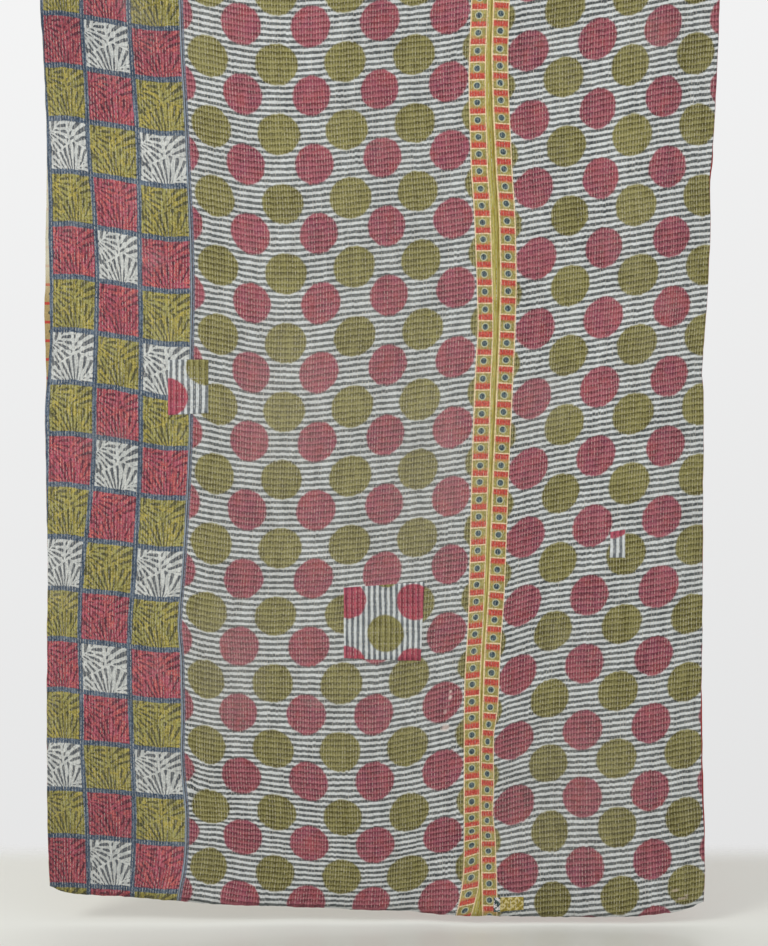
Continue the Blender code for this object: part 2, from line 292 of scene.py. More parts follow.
CHECK_LINE_2 = [
    (0.000, -0.5480), (-0.263, -0.5412), (-0.389, -0.5316),
    (-0.515, -0.5241), (-0.642, -0.5230), (-0.769, -0.5230),
    (-0.897, -0.5217), (-1.026, -0.5229), (-1.155, -0.5238),
    (-1.284, -0.5314), (-1.414, -0.5398), (-1.544, -0.5508),
    (-1.675, -0.5519), (-1.807, -0.5475), (-1.939, -0.5441),
    (-2.071, -0.5477), (-2.175, -0.5480),
]
CHECK_COLUMNS = [
    (0, -0.2811, -0.3899, -0.5045, -0.6144, -0.7268, -0.8396, -0.9528,
     -1.0636, -1.1741, -1.2839, -1.3987, -1.506, -1.6182, -1.7269, -1.8397,
     -1.9401, -2.0471),
    (0, -0.2962, -0.4056, -0.5171, -0.629, -0.7417, -0.8541, -0.9663,
     -1.0771, -1.189, -1.2984, -1.4091, -1.5177, -1.6294, -1.7401, -1.8461,
     -1.9489, -2.0536),
    (-1, -0.2104, -0.3117, -0.425, -0.5361, -0.6481, -0.7593, -0.8705,
     -0.9849, -1.0982, -1.2026, -1.3129, -1.4226, -1.5321, -1.642, -1.7526,
     -1.8573, -1.9606, -2.0631),
]

# ------------------------------------------------------------------ patches
# Corners (x, z) from the top left, clockwise, then the middle of one dot:
# x, z, whether it is crimson, the print's shrinkage across and down, and how
# much it sinks to the right.
PATCHES = {
    "patch_large": (((-0.0865, -1.450), (0.0875, -1.4395),
                     (0.0795, -1.612), (-0.0865, -1.604)),
                    (-0.0062, -1.5500, 0, 1.045, 1.03, 0.035)),
    "patch_seam": (((-0.4625, -0.9610), (-0.3765, -0.9605),
                    (-0.3770, -1.0755), (-0.4630, -1.0795)),
                   (-0.4615, -1.0415, 1, 1.04, 0.98, 0.0)),
    "patch_small": (((0.4880, -1.3310), (0.5190, -1.3255),
                     (0.5190, -1.3865), (0.4865, -1.3865)),
                    (0.4911, -1.3030, 1, 1.0, 0.935, 0.0)),
    "patch_hem": (((0.2380, -2.1270), (0.3035, -2.1260),
                   (0.3035, -2.1540), (0.2380, -2.1585)),
                  (0.2700, -2.1460, 1, 1.0, 1.0, 0.0)),
}


# ------------------------------------------------------------ small readers
def along(table, t):
    """Smooth reading of a two-column table at t (an array)."""
    rows = np.array(table, float)
    if rows[0, 0] > rows[-1, 0]:
        rows = rows[::-1]
    at, val = rows[:, 0], rows[:, 1]
    t = np.clip(np.asarray(t, float), at[0], at[-1])
    k = np.clip(np.searchsorted(at, t, side="right") - 1, 0, len(at) - 2)
    before, after = np.maximum(k - 1, 0), np.minimum(k + 2, len(at) - 1)
    span = at[k + 1] - at[k]
    m0 = (val[k + 1] - val[before]) / (at[k + 1] - at[before]) * span
    m1 = (val[after] - val[k]) / (at[after] - at[k]) * span
    s = (t - at[k]) / span
    return ((2 * s ** 3 - 3 * s ** 2 + 1) * val[k]
            + (s ** 3 - 2 * s ** 2 + s) * m0
            + (-2 * s ** 3 + 3 * s ** 2) * val[k + 1] + (s ** 3 - s ** 2) * m1)


def sag(table, s, z):
    """Both-ways smooth reading of a sag table, in metres."""
    head = np.array(table[0][1:], float)
    at = np.array([row[0] for row in table[1:]], float)
    across = np.array([along(list(zip(head, row[1:])), s)
                       for row in table[1:]])
    depth = -at
    d = np.clip(-np.asarray(z, float), depth[0], depth[-1])
    k = np.clip(np.searchsorted(depth, d, side="right") - 1,
                0, len(depth) - 2)
    before, after = np.maximum(k - 1, 0), np.minimum(k + 2, len(depth) - 1)
    flat = across.reshape(len(at), -1)
    kk, bb, aa = k.ravel(), before.ravel(), after.ravel()
    n = np.arange(kk.size)
    p0, p1 = flat[kk, n], flat[kk + 1, n]
    pb, pa = flat[bb, n], flat[aa, n]
    span = depth[kk + 1] - depth[kk]
    m0 = (p1 - pb) / (depth[kk + 1] - depth[bb]) * span
    m1 = (pa - p0) / (depth[aa] - depth[kk]) * span
    w = (d.ravel() - depth[kk]) / span
    out = ((2 * w ** 3 - 3 * w ** 2 + 1) * p0 + (w ** 3 - 2 * w ** 2 + w) * m0
           + (-2 * w ** 3 + 3 * w ** 2) * p1 + (w ** 3 - w ** 2) * m1)
    return out.reshape(np.shape(z)) / 1000.0


def value_noise(a, b, seed):
    """Smooth noise from -1 to 1, one hill or dip per unit of a and b."""
    a, b = np.asarray(a, float), np.asarray(b, float)
    ia, ib = np.floor(a).astype(np.int64), np.floor(b).astype(np.int64)
    fa, fb = a - ia, b - ib
    fa, fb = fa * fa * (3 - 2 * fa), fb * fb * (3 - 2 * fb)

    def corner(i, j):
        h = (i * 374761393 + j * 668265263 + seed * 974634777) & 0xFFFFFFFF
        h = ((h ^ (h >> 13)) * 1274126177) & 0xFFFFFFFF
        h = h ^ (h >> 16)
        return (h & 0xFFFFF) / float(0x7FFFF) - 1.0

    return ((corner(ia, ib) * (1 - fa) + corner(ia + 1, ib) * fa) * (1 - fb)
            + (corner(ia, ib + 1) * (1 - fa)
               + corner(ia + 1, ib + 1) * fa) * fb)


# -------------------------------------------------------- the folded surface
def run_of_folds(folds, x, z):
    total = np.zeros(np.shape(x))
    for x0, z0, x1, z1, half, out, fade in folds:
        dx, dz = x1 - x0, z1 - z0
        run = math.hypot(dx, dz)
        s = ((x - x0) * dx + (z - z0) * dz) / run
        across = ((x - x0) * dz - (z - z0) * dx) / run
        past = np.maximum(0.0, np.maximum(-s, s - run))
        total += out * np.exp(-(across / half) ** 2 - (past / fade) ** 2)
    return total


def surface(x, z):
    """How far the cloth stands towards the viewer at (x, z)."""
    x, z = np.asarray(x, float), np.asarray(z, float)
    return (run_of_folds(FOLDS, x, z) + run_of_folds(CREASES, x, z)
            + 0.004 * (z / LENGTH) ** 2
            + 0.00085 * value_noise(x / 0.055 + 9, z / 0.075, 3)
            + 0.00045 * value_noise(x / 0.021 + 5, z / 0.034, 4))


def hang_z(x, v):
    return -v * (LENGTH - along(BOTTOM_HEM, x) * v * v)


def edge_wobble(v, side):
    """The quilt's side edges wander a little where the stitches pull."""
    return (0.0007 * value_noise(v * LENGTH / 0.030, side * 7.0, 11)
            + 0.0005 * value_noise(v * LENGTH / 0.009, side * 5.0, 12))


# ------------------------------------------------------------- dense sheets
class Grid:
    """A dense sheet between two lines of the quilt, with its stitch rows."""

    def __init__(self, left, right, ribs, per_rib, seed, wander=0.22,
                 rows=ROWS):
        v = np.linspace(0.0, 1.0, rows + 1)
        self.ribs, self.per_rib, self.rows = ribs, per_rib, rows
        nc = ribs * per_rib
        r = np.arange(ribs + 1)[:, None]
        taper = np.minimum(1.0, np.minimum(r, ribs - r) / 3.0)
        drift = (wander * taper
                 * (0.75 * value_noise(r * 0.31, v[None] * LENGTH / 0.16, seed)
                    + 0.5 * value_noise(r * 0.9, v[None] * LENGTH / 0.055,
                                        seed + 1)))
        c = np.arange(nc + 1)
        rib = np.minimum(c // per_rib, ribs - 1)
        phase = c / per_rib - rib
        at = (rib + phase)[:, None] + (drift[rib] * (1 - phase)[:, None]
                                       + drift[rib + 1] * phase[:, None])
        self.share = at / ribs
        self.phase = np.repeat(phase[:, None] % 1.0, rows + 1, axis=1)
        self.v = np.repeat(v[None], nc + 1, axis=0)
        self.x = left(v)[None] + (right(v) - left(v))[None] * self.share
        hem = 0.0012 * value_noise(self.x / 0.012, 0.5, 21) \
            + 0.0010 * value_noise(self.x / 0.055, 0.5, 22)
        self.z = hang_z(self.x, self.v) + hem * self.v ** 30
        self.f = surface(self.x, self.z)
        amp = (0.00085 + 0.00035 * value_noise(at * 1.0, self.z / 0.018, seed + 2)
               + 0.00015 * value_noise(at * 0.3, self.z / 0.09, seed + 3))
        self.rib = amp * np.sin(np.pi * self.phase) ** 0.8
        # Stitches of each row: how many fit, and where the first one is.
        self.count = int(LENGTH / STITCH)
        self.offset = np.random.default_rng(seed + 500).uniform(0, 1, ribs + 1)
        self.seed = seed

    def uneven(self, r, pos):
        """How far a row's stitches run ahead of even spacing at pos."""
        return 1.3 * value_noise(pos / 6.0, np.asarray(r) * 13.7, self.seed + 9)


def edge_fall(grid, sides=(1, 1, 1, 1), reach=0.0032):
    """0 at the cloth's edge to 1 inside, for edges left, right, top, hem."""
    width = (grid.x[-1] - grid.x[0])[None]
    depth = LENGTH
    fall = np.ones(np.shape(grid.x))
    for on, d in zip(sides, (grid.share * width, (1 - grid.share) * width,
                             grid.v * depth, (1 - grid.v) * depth)):
        if on:
            q = np.clip(d / reach, 0.0, 1.0)
            fall = np.minimum(fall, np.sqrt(np.clip(1 - (1 - q) ** 2, 0, 1)))
    return fall


def closed_sheet(name, grid, dense_y, back_y, step_c, step_r, flip=False,
                 stacks=2):
    """Build the closed mesh: the dense side, a rim, and a coarse far side.

    dense_y and back_y are y at every grid point.  Returns the object; its
    "OFBake" map is filled here, its "Cloth" map by write_map.
    """
    nc, nr = grid.x.shape[0] - 1, grid.x.shape[1] - 1
    front = np.stack([grid.x, dense_y, grid.z], -1).reshape(-1, 3)

    def f(i, j):
        return i * (nr + 1) + j

    ii, jj = np.meshgrid(np.arange(nc), np.arange(nr), indexing="ij")
    ii, jj = ii.ravel(), jj.ravel()
    quads = np.stack([f(ii, jj), f(ii, jj + 1), f(ii + 1, jj + 1),
                      f(ii + 1, jj)], 1)
    # Far side: every boundary point, and a coarse set inside.
    ci = sorted(set(list(range(0, nc, step_c)) + [nc]))
    cj = sorted(set(list(range(0, nr, step_r)) + [nr]))
    if ci[-1] - ci[-2] < step_c // 2:
        ci.pop(-2)
    if cj[-1] - cj[-2] < step_r // 2 + 1 and len(cj) > 2:
        cj.pop(-2)
    index = -np.ones((nc + 1, nr + 1), int)
    points = []

    def back(i, j):
        if index[i, j] < 0:
            index[i, j] = len(front) + len(points)
            points.append((grid.x[i, j], back_y[i, j], grid.z[i, j]))
        return int(index[i, j])

    faces = []
    for a, b in zip(ci, ci[1:]):
        for c, d in zip(cj, cj[1:]):
            ring = []
            top = range(a, b) if c == 0 else [a]
            ring += [back(i, c) for i in top]
            right = range(c, d) if b == nc else [c]
            ring += [back(b, j) for j in right]
            bottom = range(b, a, -1) if d == nr else [b]
            ring += [back(i, d) for i in bottom]
            left = range(d, c, -1) if a == 0 else [d]
            ring += [back(a, j) for j in left]
            if len(ring) == 4:
                faces.append(ring)
                continue
            mi, mj = (a + b) // 2, (c + d) // 2
            hub = len(front) + len(points)
            points.append((grid.x[mi, mj], back_y[mi, mj], grid.z[mi, mj]))
            for k in range(len(ring)):
                faces.append([ring[k], ring[(k + 1) % len(ring)], hub])
    for i in range(nc):
        faces.append([f(i, 0), f(i + 1, 0), back(i + 1, 0), back(i, 0)])
        faces.append([f(i + 1, nr), f(i, nr), back(i, nr), back(i + 1, nr)])
    for j in range(nr):
        faces.append([f(0, j + 1), f(0, j), back(0, j), back(0, j + 1)])
        faces.append([f(nc, j), f(nc, j + 1), back(nc, j + 1), back(nc, j)])
    verts = np.vstack([front, np.array(points)])
    tail = [list(map(int, q)) for q in faces]
    if flip:
        quads = quads[:, ::-1]
        tail = [q[::-1] for q in tail]
    me = bpy.data.meshes.new(name)
    me.from_pydata(verts.tolist(), [], quads.tolist() + tail)
    me.polygons.foreach_set("use_smooth", np.ones(len(me.polygons), bool))
    # The layout map: the dense side in stacks side by side, the rest in a
    # narrow strip under it.
    loops = np.zeros(len(me.loops), np.int64)
    me.loops.foreach_get("vertex_index", loops)
    uv = np.zeros((len(loops), 2))
    per = int(math.ceil(nr / stacks))
    n_quads = len(quads)
    face_row = np.repeat(jj, 4)
    stack = np.minimum(face_row // per, stacks - 1)
    gi, gj = loops[:4 * n_quads] // (nr + 1), loops[:4 * n_quads] % (nr + 1)
    wide = 1.0 / stacks
    uv[:4 * n_quads, 0] = (stack + 0.004 + 0.992 * gi / nc) * wide
    uv[:4 * n_quads, 1] = 1.0 - 0.97 * (gj - stack * per) / per
    rest = loops[4 * n_quads:]
    uv[4 * n_quads:, 0] = (verts[rest, 0] - verts[:, 0].min()) / 1.6
    uv[4 * n_quads:, 1] = 0.02 * (verts[rest, 2] + 2.25) / 2.25
    layer = me.uv_layers.new(name="OFBake")
    layer.data.foreach_set("uv", uv.astype(np.float32).ravel())
    if hasattr(grid, "offset"):
        # Where a point is among the stitch rows: rows are whole numbers
        # across, and the gaps between stitches whole numbers along.
        rows = np.full((len(loops), 2), 0.5)
        cell = np.repeat(ii, 4)
        near = cell // grid.per_rib + (cell % grid.per_rib
                                       >= grid.per_rib / 2)
        rows[:4 * n_quads, 0] = gi / grid.per_rib
        pos = gj / grid.rows * grid.count
        rows[:4 * n_quads, 1] = (pos - grid.offset[near]
                                 - grid.uneven(near, pos)
                                 + (1 - STITCH_SHARE) / 2)
        layer = me.uv_layers.new(name="Rows")
        layer.data.foreach_set("uv", rows.astype(np.float32).ravel())
    me.update()
    obj = bpy.data.objects.new(name, me)
    bpy.context.scene.collection.objects.link(obj)
    return obj


def write_map(obj, name, place):
    """A UV map whose value at a vertex is place(x, z)."""
    me = obj.data
    co = np.zeros(len(me.vertices) * 3, np.float32)
    me.vertices.foreach_get("co", co)
    co = co.reshape(-1, 3).astype(float)
    s, t = place(co[:, 0], co[:, 2])
    loops = np.zeros(len(me.loops), np.int64)
    me.loops.foreach_get("vertex_index", loops)
    uv = np.stack([s, t], 1)[loops]
    layer = me.uv_layers.new(name=name)
    layer.data.foreach_set("uv", uv.astype(np.float32).ravel())


def share_down(x, z):
    """The share v whose point on column x lies at z."""
    v = np.clip(-z / LENGTH, 0, 1)
    for _ in range(4):
        v = np.clip(-z / (LENGTH - along(BOTTOM_HEM, x) * v * v), 0, 1.0)
    return v


def centre_body(x, z, v):
    seam = along(PRINT_SEAM, v)
    l1, l2 = along(BAND_INNER, z), along(BAND_OUTER, z)
    s = np.where(
        x < l1, BAND_AT * (x - seam) / (l1 - seam),
        np.where(x < l2, BAND_AT + (x - l1) * BAND_WIDE / (l2 - l1),
                 BAND_AT + BAND_WIDE + (x - l2)))
    mid = BAND_AT + BAND_WIDE / 2
    band = s > BAND_AT
    aside = sag(CENTRE_ASIDE, s, z) * np.clip((BAND_AT - s) / 0.02, 0, 1)
    lift = np.zeros(np.shape(x))
    for px, pz, wide, up, down, high, right in PINCHES:
        near = np.exp(-((x - px) / wide) ** 2
                      - ((z - pz) / np.where(z > pz, up, down)) ** 2)
        lift += high * near
        aside = aside - right * near
    return s + aside, (-z + sag(CENTRE_SAG, np.where(band, mid, s), z) + lift
                       + np.where(band, along(BAND_RISE, z)
                                  + along(BAND_TILT, z) * (s - mid), 0.0))


def centre_print(x, z):
    """The print, drawn in so that its hem follows the seam itself."""
    v = share_down(x, z)
    at = along(LEFT_SEAM, v)
    s, t = centre_body(x, z, v)
    here, _ = centre_body(at, z, v)
    return s - here * np.exp(-((x - at) / 0.035) ** 2), t


def right_print(x, z):
    start = along(BAND_RIGHT, z)
    drawn = along(RIGHT_DRAWN, z)
    wide = RIGHT_BAND_WIDE / RIGHT_SCALE - drawn
    past = np.maximum(x - start - wide, 0)
    s = np.where(x - start < wide, (x - start) * RIGHT_BAND_WIDE / wide,
                 (x - start + drawn * np.exp(-past / 0.030)) * RIGHT_SCALE)
    mid = RIGHT_BAND_WIDE / 2
    band = s < RIGHT_BAND_WIDE
    s = s + sag(RIGHT_ASIDE, s, z) * np.clip((s - RIGHT_BAND_WIDE) / 0.02,
                                             0, 1)
    return s, (-z + sag(RIGHT_SAG, np.where(band, mid, s), z)
               + np.where(band, along(RIGHT_RISE, z)
                          + along(RIGHT_TILT, z) * (s - mid), 0.0))


def check_rows(column, z):
    first, *middles = CHECK_COLUMNS[column]
    n = len(middles)
    lead = middles[0] - middles[1]
    tail = middles[-2] - middles[-1]
    z_at = [middles[0] + lead * k for k in (3, 2, 1)] + middles \
        + [middles[-1] - tail * k for k in (1, 2)]
    num = [first + 0.5 + k for k in range(-3, n + 2)]
    return -along(list(zip(z_at, [-v for v in num])), z)


def check_print(x, z):
    """Column and row of squares: whole numbers are grid lines."""
    l0, l1, l2 = (along(line, z) for line in
                  (CHECK_LINE_0, CHECK_LINE_1, CHECK_LINE_2))
    l3 = along(LEFT_SEAM, share_down(x, z)) + 0.0005
    u = np.where(x < l1, (x - l1) / (l1 - l0),
                 np.where(x < l2, (x - l1) / (l2 - l1),
                          1.0 + (x - l2) / (l3 - l2)))
    a, b, c = (check_rows(k, z) for k in range(3))
    m = np.clip(u + 0.5, 0.0, 2.0)      # 0, 1, 2 at the columns' middles
    rows = np.where(m < 1, a + (b - a) * m, b + (c - b) * (m - 1))
    return u + 1.0, rows


# ---------------------------------------------------------- material helper
def linear(r, g, b):
    """A screen colour, 0 to 255, as linear light."""
    def one(c):
        c /= 255.0
        return c / 12.92 if c <= 0.04045 else ((c + 0.055) / 1.055) ** 2.4
    return (one(r), one(g), one(b), 1.0)


class Cloth:
    """Short hand for one node material."""

    def __init__(self, name, roughness=0.93, sheen=0.12):
        self.mat = bpy.data.materials.new(name)
        self.mat.use_nodes = True
        self.tree = self.mat.node_tree
        self.tree.nodes.clear()
        self.out = self.tree.nodes.new("ShaderNodeOutputMaterial")
        self.bsdf = self.tree.nodes.new("ShaderNodeBsdfPrincipled")
        self.tree.links.new(self.bsdf.outputs[0], self.out.inputs[0])
        self.bsdf.inputs["Roughness"].default_value = roughness
        self.bsdf.inputs["Specular IOR Level"].default_value = 0.12
        self.bsdf.inputs["Sheen Weight"].default_value = sheen
        self.bsdf.inputs["Sheen Roughness"].default_value = 0.6

    def put(self, socket, value):
        if isinstance(value, bpy.types.NodeSocket):
            self.tree.links.new(value, socket)
        elif isinstance(value, (tuple, list)):
            socket.default_value = value
        else:
            socket.default_value = float(value)

    def m(self, op, a, b=None, c=None, clamp=False):
        n = self.tree.nodes.new("ShaderNodeMath")
        n.operation = op
        n.use_clamp = clamp
        for k, v in enumerate((a, b, c)):
            if v is not None:
                self.put(n.inputs[k], v)
        return n.outputs[0]

    def add(self, *v):
        out = v[0]
        for w in v[1:]:
            out = self.m("ADD", out, w)
        return out

    def mul(self, *v):
        out = v[0]
        for w in v[1:]:
            out = self.m("MULTIPLY", out, w)
        return out

    def sub(self, a, b):
        return self.m("SUBTRACT", a, b)

    def ramp(self, x, lo, hi):
        """0 below lo, 1 above hi, smooth between (lo above hi: reversed)."""
        n = self.tree.nodes.new("ShaderNodeMapRange")
        n.interpolation_type = "SMOOTHSTEP"
        self.put(n.inputs[0], x)
        if lo < hi:
            values = (lo, hi, 0.0, 1.0)
        else:
            values = (hi, lo, 1.0, 0.0)
        for k, v in enumerate(values):
            self.put(n.inputs[1 + k], v)
        return n.outputs[0]

    def band(self, x, lo, hi, soft):
        """1 between lo and hi, with soft edges."""
        return self.mul(self.ramp(x, lo - soft, lo + soft),
                        self.ramp(x, hi + soft, hi - soft))

    def saw(self, x, half=0.5):
        """Distance from the nearest whole number."""
        return self.m("PINGPONG", x, half)

    def uv(self, name="Cloth"):
        n = self.tree.nodes.new("ShaderNodeUVMap")
        n.uv_map = name
        return n.outputs[0]

    def split(self, vec):
        n = self.tree.nodes.new("ShaderNodeSeparateXYZ")
        self.tree.links.new(vec, n.inputs[0])
        return n.outputs[0], n.outputs[1], n.outputs[2]

    def join(self, x, y, z=0.0):
        n = self.tree.nodes.new("ShaderNodeCombineXYZ")
        for k, v in enumerate((x, y, z)):
            self.put(n.inputs[k], v)
        return n.outputs[0]

    def noise(self, vec, scale, detail=2.0, rough=0.5, colour=False):
        n = self.tree.nodes.new("ShaderNodeTexNoise")
        self.put(n.inputs["Vector"], vec)
        n.inputs["Scale"].default_value = scale
        n.inputs["Detail"].default_value = detail
        n.inputs["Roughness"].default_value = rough
        return n.outputs["Color" if colour else "Fac"]

    def random(self, vec):
        n = self.tree.nodes.new("ShaderNodeTexWhiteNoise")
        n.noise_dimensions = "3D"
        self.put(n.inputs["Vector"], vec)
        return n.outputs["Value"]

    def mix(self, fac, a, b, blend="MIX"):
        n = self.tree.nodes.new("ShaderNodeMix")
        n.data_type = "RGBA"
        n.blend_type = blend
        self.put(n.inputs[0], fac)
        self.put(n.inputs[6], a)
        self.put(n.inputs[7], b)
        return n.outputs[2]

    def blend(self, fac, a, b):
        """Mix of two numbers."""
        n = self.tree.nodes.new("ShaderNodeMix")
        n.data_type = "FLOAT"
        self.put(n.inputs[0], fac)
        self.put(n.inputs[2], a)
        self.put(n.inputs[3], b)
        return n.outputs[0]

    def bump(self, height, strength, distance):
        n = self.tree.nodes.new("ShaderNodeBump")
        n.inputs["Strength"].default_value = strength
        n.inputs["Distance"].default_value = distance
        self.tree.links.new(height, n.inputs["Height"])
        self.tree.links.new(n.outputs[0], self.bsdf.inputs["Normal"])

    def colour(self, value):
        self.put(self.bsdf.inputs["Base Color"], value)


def weave_height(k, s, t):
    """Plain weave of slubby threads, 0.55 mm apart, as a height."""
    warp = k.m("SINE", k.mul(s, 2 * math.pi / 0.00055))
    weft = k.m("SINE", k.mul(t, 2 * math.pi / 0.00060))
    slub = k.noise(k.join(k.mul(s, 60.0), k.mul(t, 900.0)), 1.0, 2.0)
    slub2 = k.noise(k.join(k.mul(s, 1000.0), k.mul(t, 50.0)), 1.0, 2.0)
    return k.add(k.mul(warp, weft, 0.5), slub, slub2)


# ------------------------------------------------------------ print colours
WHITE = linear(228, 231, 231)
CRIMSON = linear(188, 110, 121)
CRIMSON_DEEP = linear(88, 42, 51)
OLIVE = linear(163, 157, 102)
OLIVE_DEEP = linear(74, 68, 30)
CREAM = linear(250, 226, 190)
BAR_RED = linear(214, 98, 82)
BAND_OLIVE = linear(190, 177, 108)
SLATE_DOT = linear(98, 116, 122)
THREAD = linear(222, 216, 202)


def kinks(k, t):
    """Small steps down or up from one stitch row's strip to the next."""
    ru, _, _ = k.split(k.uv("Rows"))
    step = k.noise(k.join(k.mul(k.m("FLOOR", ru), 5.37), k.mul(t, 16.0)), 1.0,
                   1.0)
    return k.mul(k.sub(step, 0.5), 0.0042)


def sewn_cloth(k, colour):
    """Cloth drawn down along the stitch rows, with painted shade in the valleys
    along the rows and painted shadow in the needle holes at the gaps.
    """
    ru, rv, _ = k.split(k.uv("Rows"))
    row = k.saw(ru)
    # Painted shadow in the needle holes at the gaps and painted shade in the
    # valleys along the rows.
    hole_shade = k.mul(k.ramp(row, 0.15, 0.05), k.ramp(k.saw(rv), 0.20, 0.10))
    valley = k.ramp(row, 0.30, 0.05)
    painted_shade = k.add(k.mul(hole_shade, 0.10), k.mul(valley, 0.03))
    return k.mix(painted_shade, colour, linear(40, 38, 36))


def sewn_thread(k, here, colour, stain=0.0):
    """Thread in the place of cloth: the light cotton, stained by the print."""
    each = k.noise(here, 75.0, 2.0, 0.7)
    s, t, _ = k.split(here)
    row = k.noise(k.join(k.mul(s, 160.0), k.mul(t, 9.0), 3.0), 1.0, 2.0, 0.6)
    tone = k.mix(k.ramp(each, 0.30, 0.70), linear(184, 181, 175), THREAD)
    share = k.add(0.26, k.mul(k.ramp(each, 0.34, 0.66), 0.14),
                  k.mul(k.ramp(row, 0.38, 0.60), 0.56))
    share = k.mul(share, k.sub(1.0, k.mul(stain, 0.30)))
    k.colour(k.mix(share, colour, tone))
    k.bump(k.noise(here, 2400.0, 1.0), 0.3, 0.0001)
    return k


def dot_cloth(name, s0, phase, band_from=None, band_wide=BAND_WIDE,
              turned=False, after=False, seed=0.0, thread=False, worn=(),
              rows=True, fresh=False, aside=0.0, lower_by=0.0,
              wide=(0.0420, 0.0420)):
    """The dot-and-stripe print, with or without its border band."""
    k = Cloth(name)
    s, t, _ = k.split(k.uv())
    x_place = s
    here = k.join(s, t, seed)
    # The printed cloth is a little out of true everywhere.
    warp = k.split(k.noise(here, 24.0, 2.0, 0.5, colour=True))
    fine = k.split(k.noise(here, 95.0, 2.0, 0.6, colour=True))
    ws = k.add(s, k.mul(k.sub(warp[0], 0.5), 0.0060),
               k.mul(k.sub(fine[0], 0.5), 0.0026))
    wt = k.add(t, k.mul(k.sub(warp[1], 0.5), 0.0045),
               k.mul(k.sub(fine[1], 0.5), 0.0024))
    if rows and not thread:
        wt = k.add(wt, kinks(k, t))
    # Fibres' edge: fine noise on every printed line.
    fibre = k.sub(k.noise(here, 620.0, 2.0, 0.6), 0.5)
    fleck = k.noise(here, 260.0, 3.0, 0.65)
    # Stripes.
    at = k.sub(k.mul(k.sub(wt, ROW0), 12.0 / REPEAT), phase)
    white_share = k.add(0.238, k.mul(k.sub(k.noise(here, 45.0, 2.0), 0.5), 0.12))
    off = k.sub(k.saw(at), white_share)
    stripe = k.ramp(k.add(off, k.mul(fibre, 0.10)), 0.05, -0.05)
    # Dots, crimson and olive.
    ds = k.mul(k.sub(ws, s0), 1.0 / REPEAT)
    dt = k.mul(k.sub(wt, ROW0), 1.0 / REPEAT)

    def dots(shift, tag, half, off=0.0, off_a=0.0):
        a, b = k.add(ds, shift - off_a), k.add(dt, shift - off)
        cell = k.join(k.m("FLOOR", k.add(a, 0.5)), k.m("FLOOR", k.add(b, 0.5)),
                      tag)
        size = k.add(0.985, k.mul(k.random(cell), 0.035))
        r = k.m("SQRT", k.add(
            k.m("POWER", k.mul(k.saw(a), REPEAT / half), 2.0),
            k.m("POWER", k.mul(k.saw(b), REPEAT / (0.0400 if fresh
                                                   else 0.0434)), 2.0)))
        r = k.m("DIVIDE", r, size)
        return k.ramp(k.add(r, k.mul(fibre, 0.10),
                            k.mul(k.sub(fine[2], 0.5), 0.10)),
                      1.055, 0.94), cell

    red, red_cell = dots(0.0, 1.0, wide[0])
    olive, olive_cell = dots(0.5, 2.0, wide[1], aside, lower_by)
    # Uneven inking: patches that took more or less dye, and wear.
    wash = k.noise(here, 9.0, 3.0, 0.55)
    blotch = k.noise(here, 42.0, 3.0, 0.6)
    # Long faint lines of the cloth, down and across, where ink took badly.
    down = k.noise(k.join(k.mul(s, 190.0), k.mul(t, 22.0), seed), 1.0, 2.0, 0.7)
    across = k.noise(k.join(k.mul(s, 28.0), k.mul(t, 230.0), seed), 1.0, 2.0,
                     0.7)
    wider = k.noise(k.join(k.mul(s, 75.0), k.mul(t, 9.0), seed), 1.0, 1.0)
    grainy = k.noise(here, 170.0, 2.0, 0.8)
    inking = k.add(k.mul(wash, 0.12), k.mul(blotch, 0.18), k.mul(down, 0.20),
                   k.mul(wider, 0.18), k.mul(across, 0.14),
                   k.mul(grainy, 0.18))
    inking = k.ramp(inking, 0.42, 0.58)
    kept = k.add(k.mul(inking, 0.6), k.mul(fleck, 0.4))
    if turned:
        kept = k.add(kept, k.mul(k.ramp(t, 1.9, 0.9), 0.22))
    if not fresh:
        kept = k.add(kept, k.mul(k.ramp(t, 1.2, 1.9), 0.14))
    inked = k.add(k.mul(inking, 0.65), k.mul(fleck, 0.35))
    if after:
        inked = k.add(inked, k.mul(k.ramp(t, 0.35, 0.60),
                                   k.ramp(t, 1.95, 1.65), 0.10))
    if turned:
        inked = k.add(inked, k.mul(k.ramp(t, 0.70, 1.00), 0.04))
    white = k.mix(kept,
                  linear(192, 196, 195) if fresh else linear(188, 190, 189),
                  linear(230, 234, 234) if fresh else WHITE)
    dark = k.mix(inked,
                 linear(80, 86, 92) if fresh else linear(48, 54, 58),
                 linear(140, 145, 148) if fresh else linear(126, 131, 130))
    ground = k.mix(stripe, dark, white)

    if thread:
        ridge = 0.34
    elif rows:
        # Cloth drawn in at the rows looks paler there, deeper between, more
        # in some rows than in others.
        ru, _, _ = k.split(k.uv("Rows"))
        much = k.ramp(k.noise(k.join(k.mul(k.m("ROUND", ru), 3.71),
                                     k.mul(t, 11.0), seed), 1.0, 1.0),
                      0.34, 0.62)
        ridge = k.sub(k.ramp(k.saw(k.add(ru, k.mul(k.sub(grainy, 0.5), 0.3))),
                             0.34, 0.10), 0.40)
        ridge = k.mul(ridge, k.add(0.08, k.mul(much, 0.24)))
    else:
        ridge = 0.02

    # The dye is fresher towards the hem.
    lower = k.mul(k.ramp(t, 1.10, 2.00), -0.10 if after else -0.16)
    if turned:
        lower = k.add(lower, k.mul(k.ramp(t, 0.40, 0.28), -0.16))

    def dye(light, deep, cell):
        shade = k.add(k.mul(k.random(cell), 0.18), k.mul(inking, 0.70),
                      k.mul(fleck, 0.25), lower)
        tone = k.add(k.mul(stripe, 0.44), k.mul(second, 0.17),
                     k.mul(shade, 0.50), k.mul(k.sub(speck, 0.5), 1.15), ridge,
                     -0.09)
        return k.mix(tone, deep, light)

    # Single threads that took more or less dye.
    speck = k.noise(k.join(k.mul(s, 520.0), k.mul(t, 330.0), seed), 1.0, 1.0,
                    0.6)
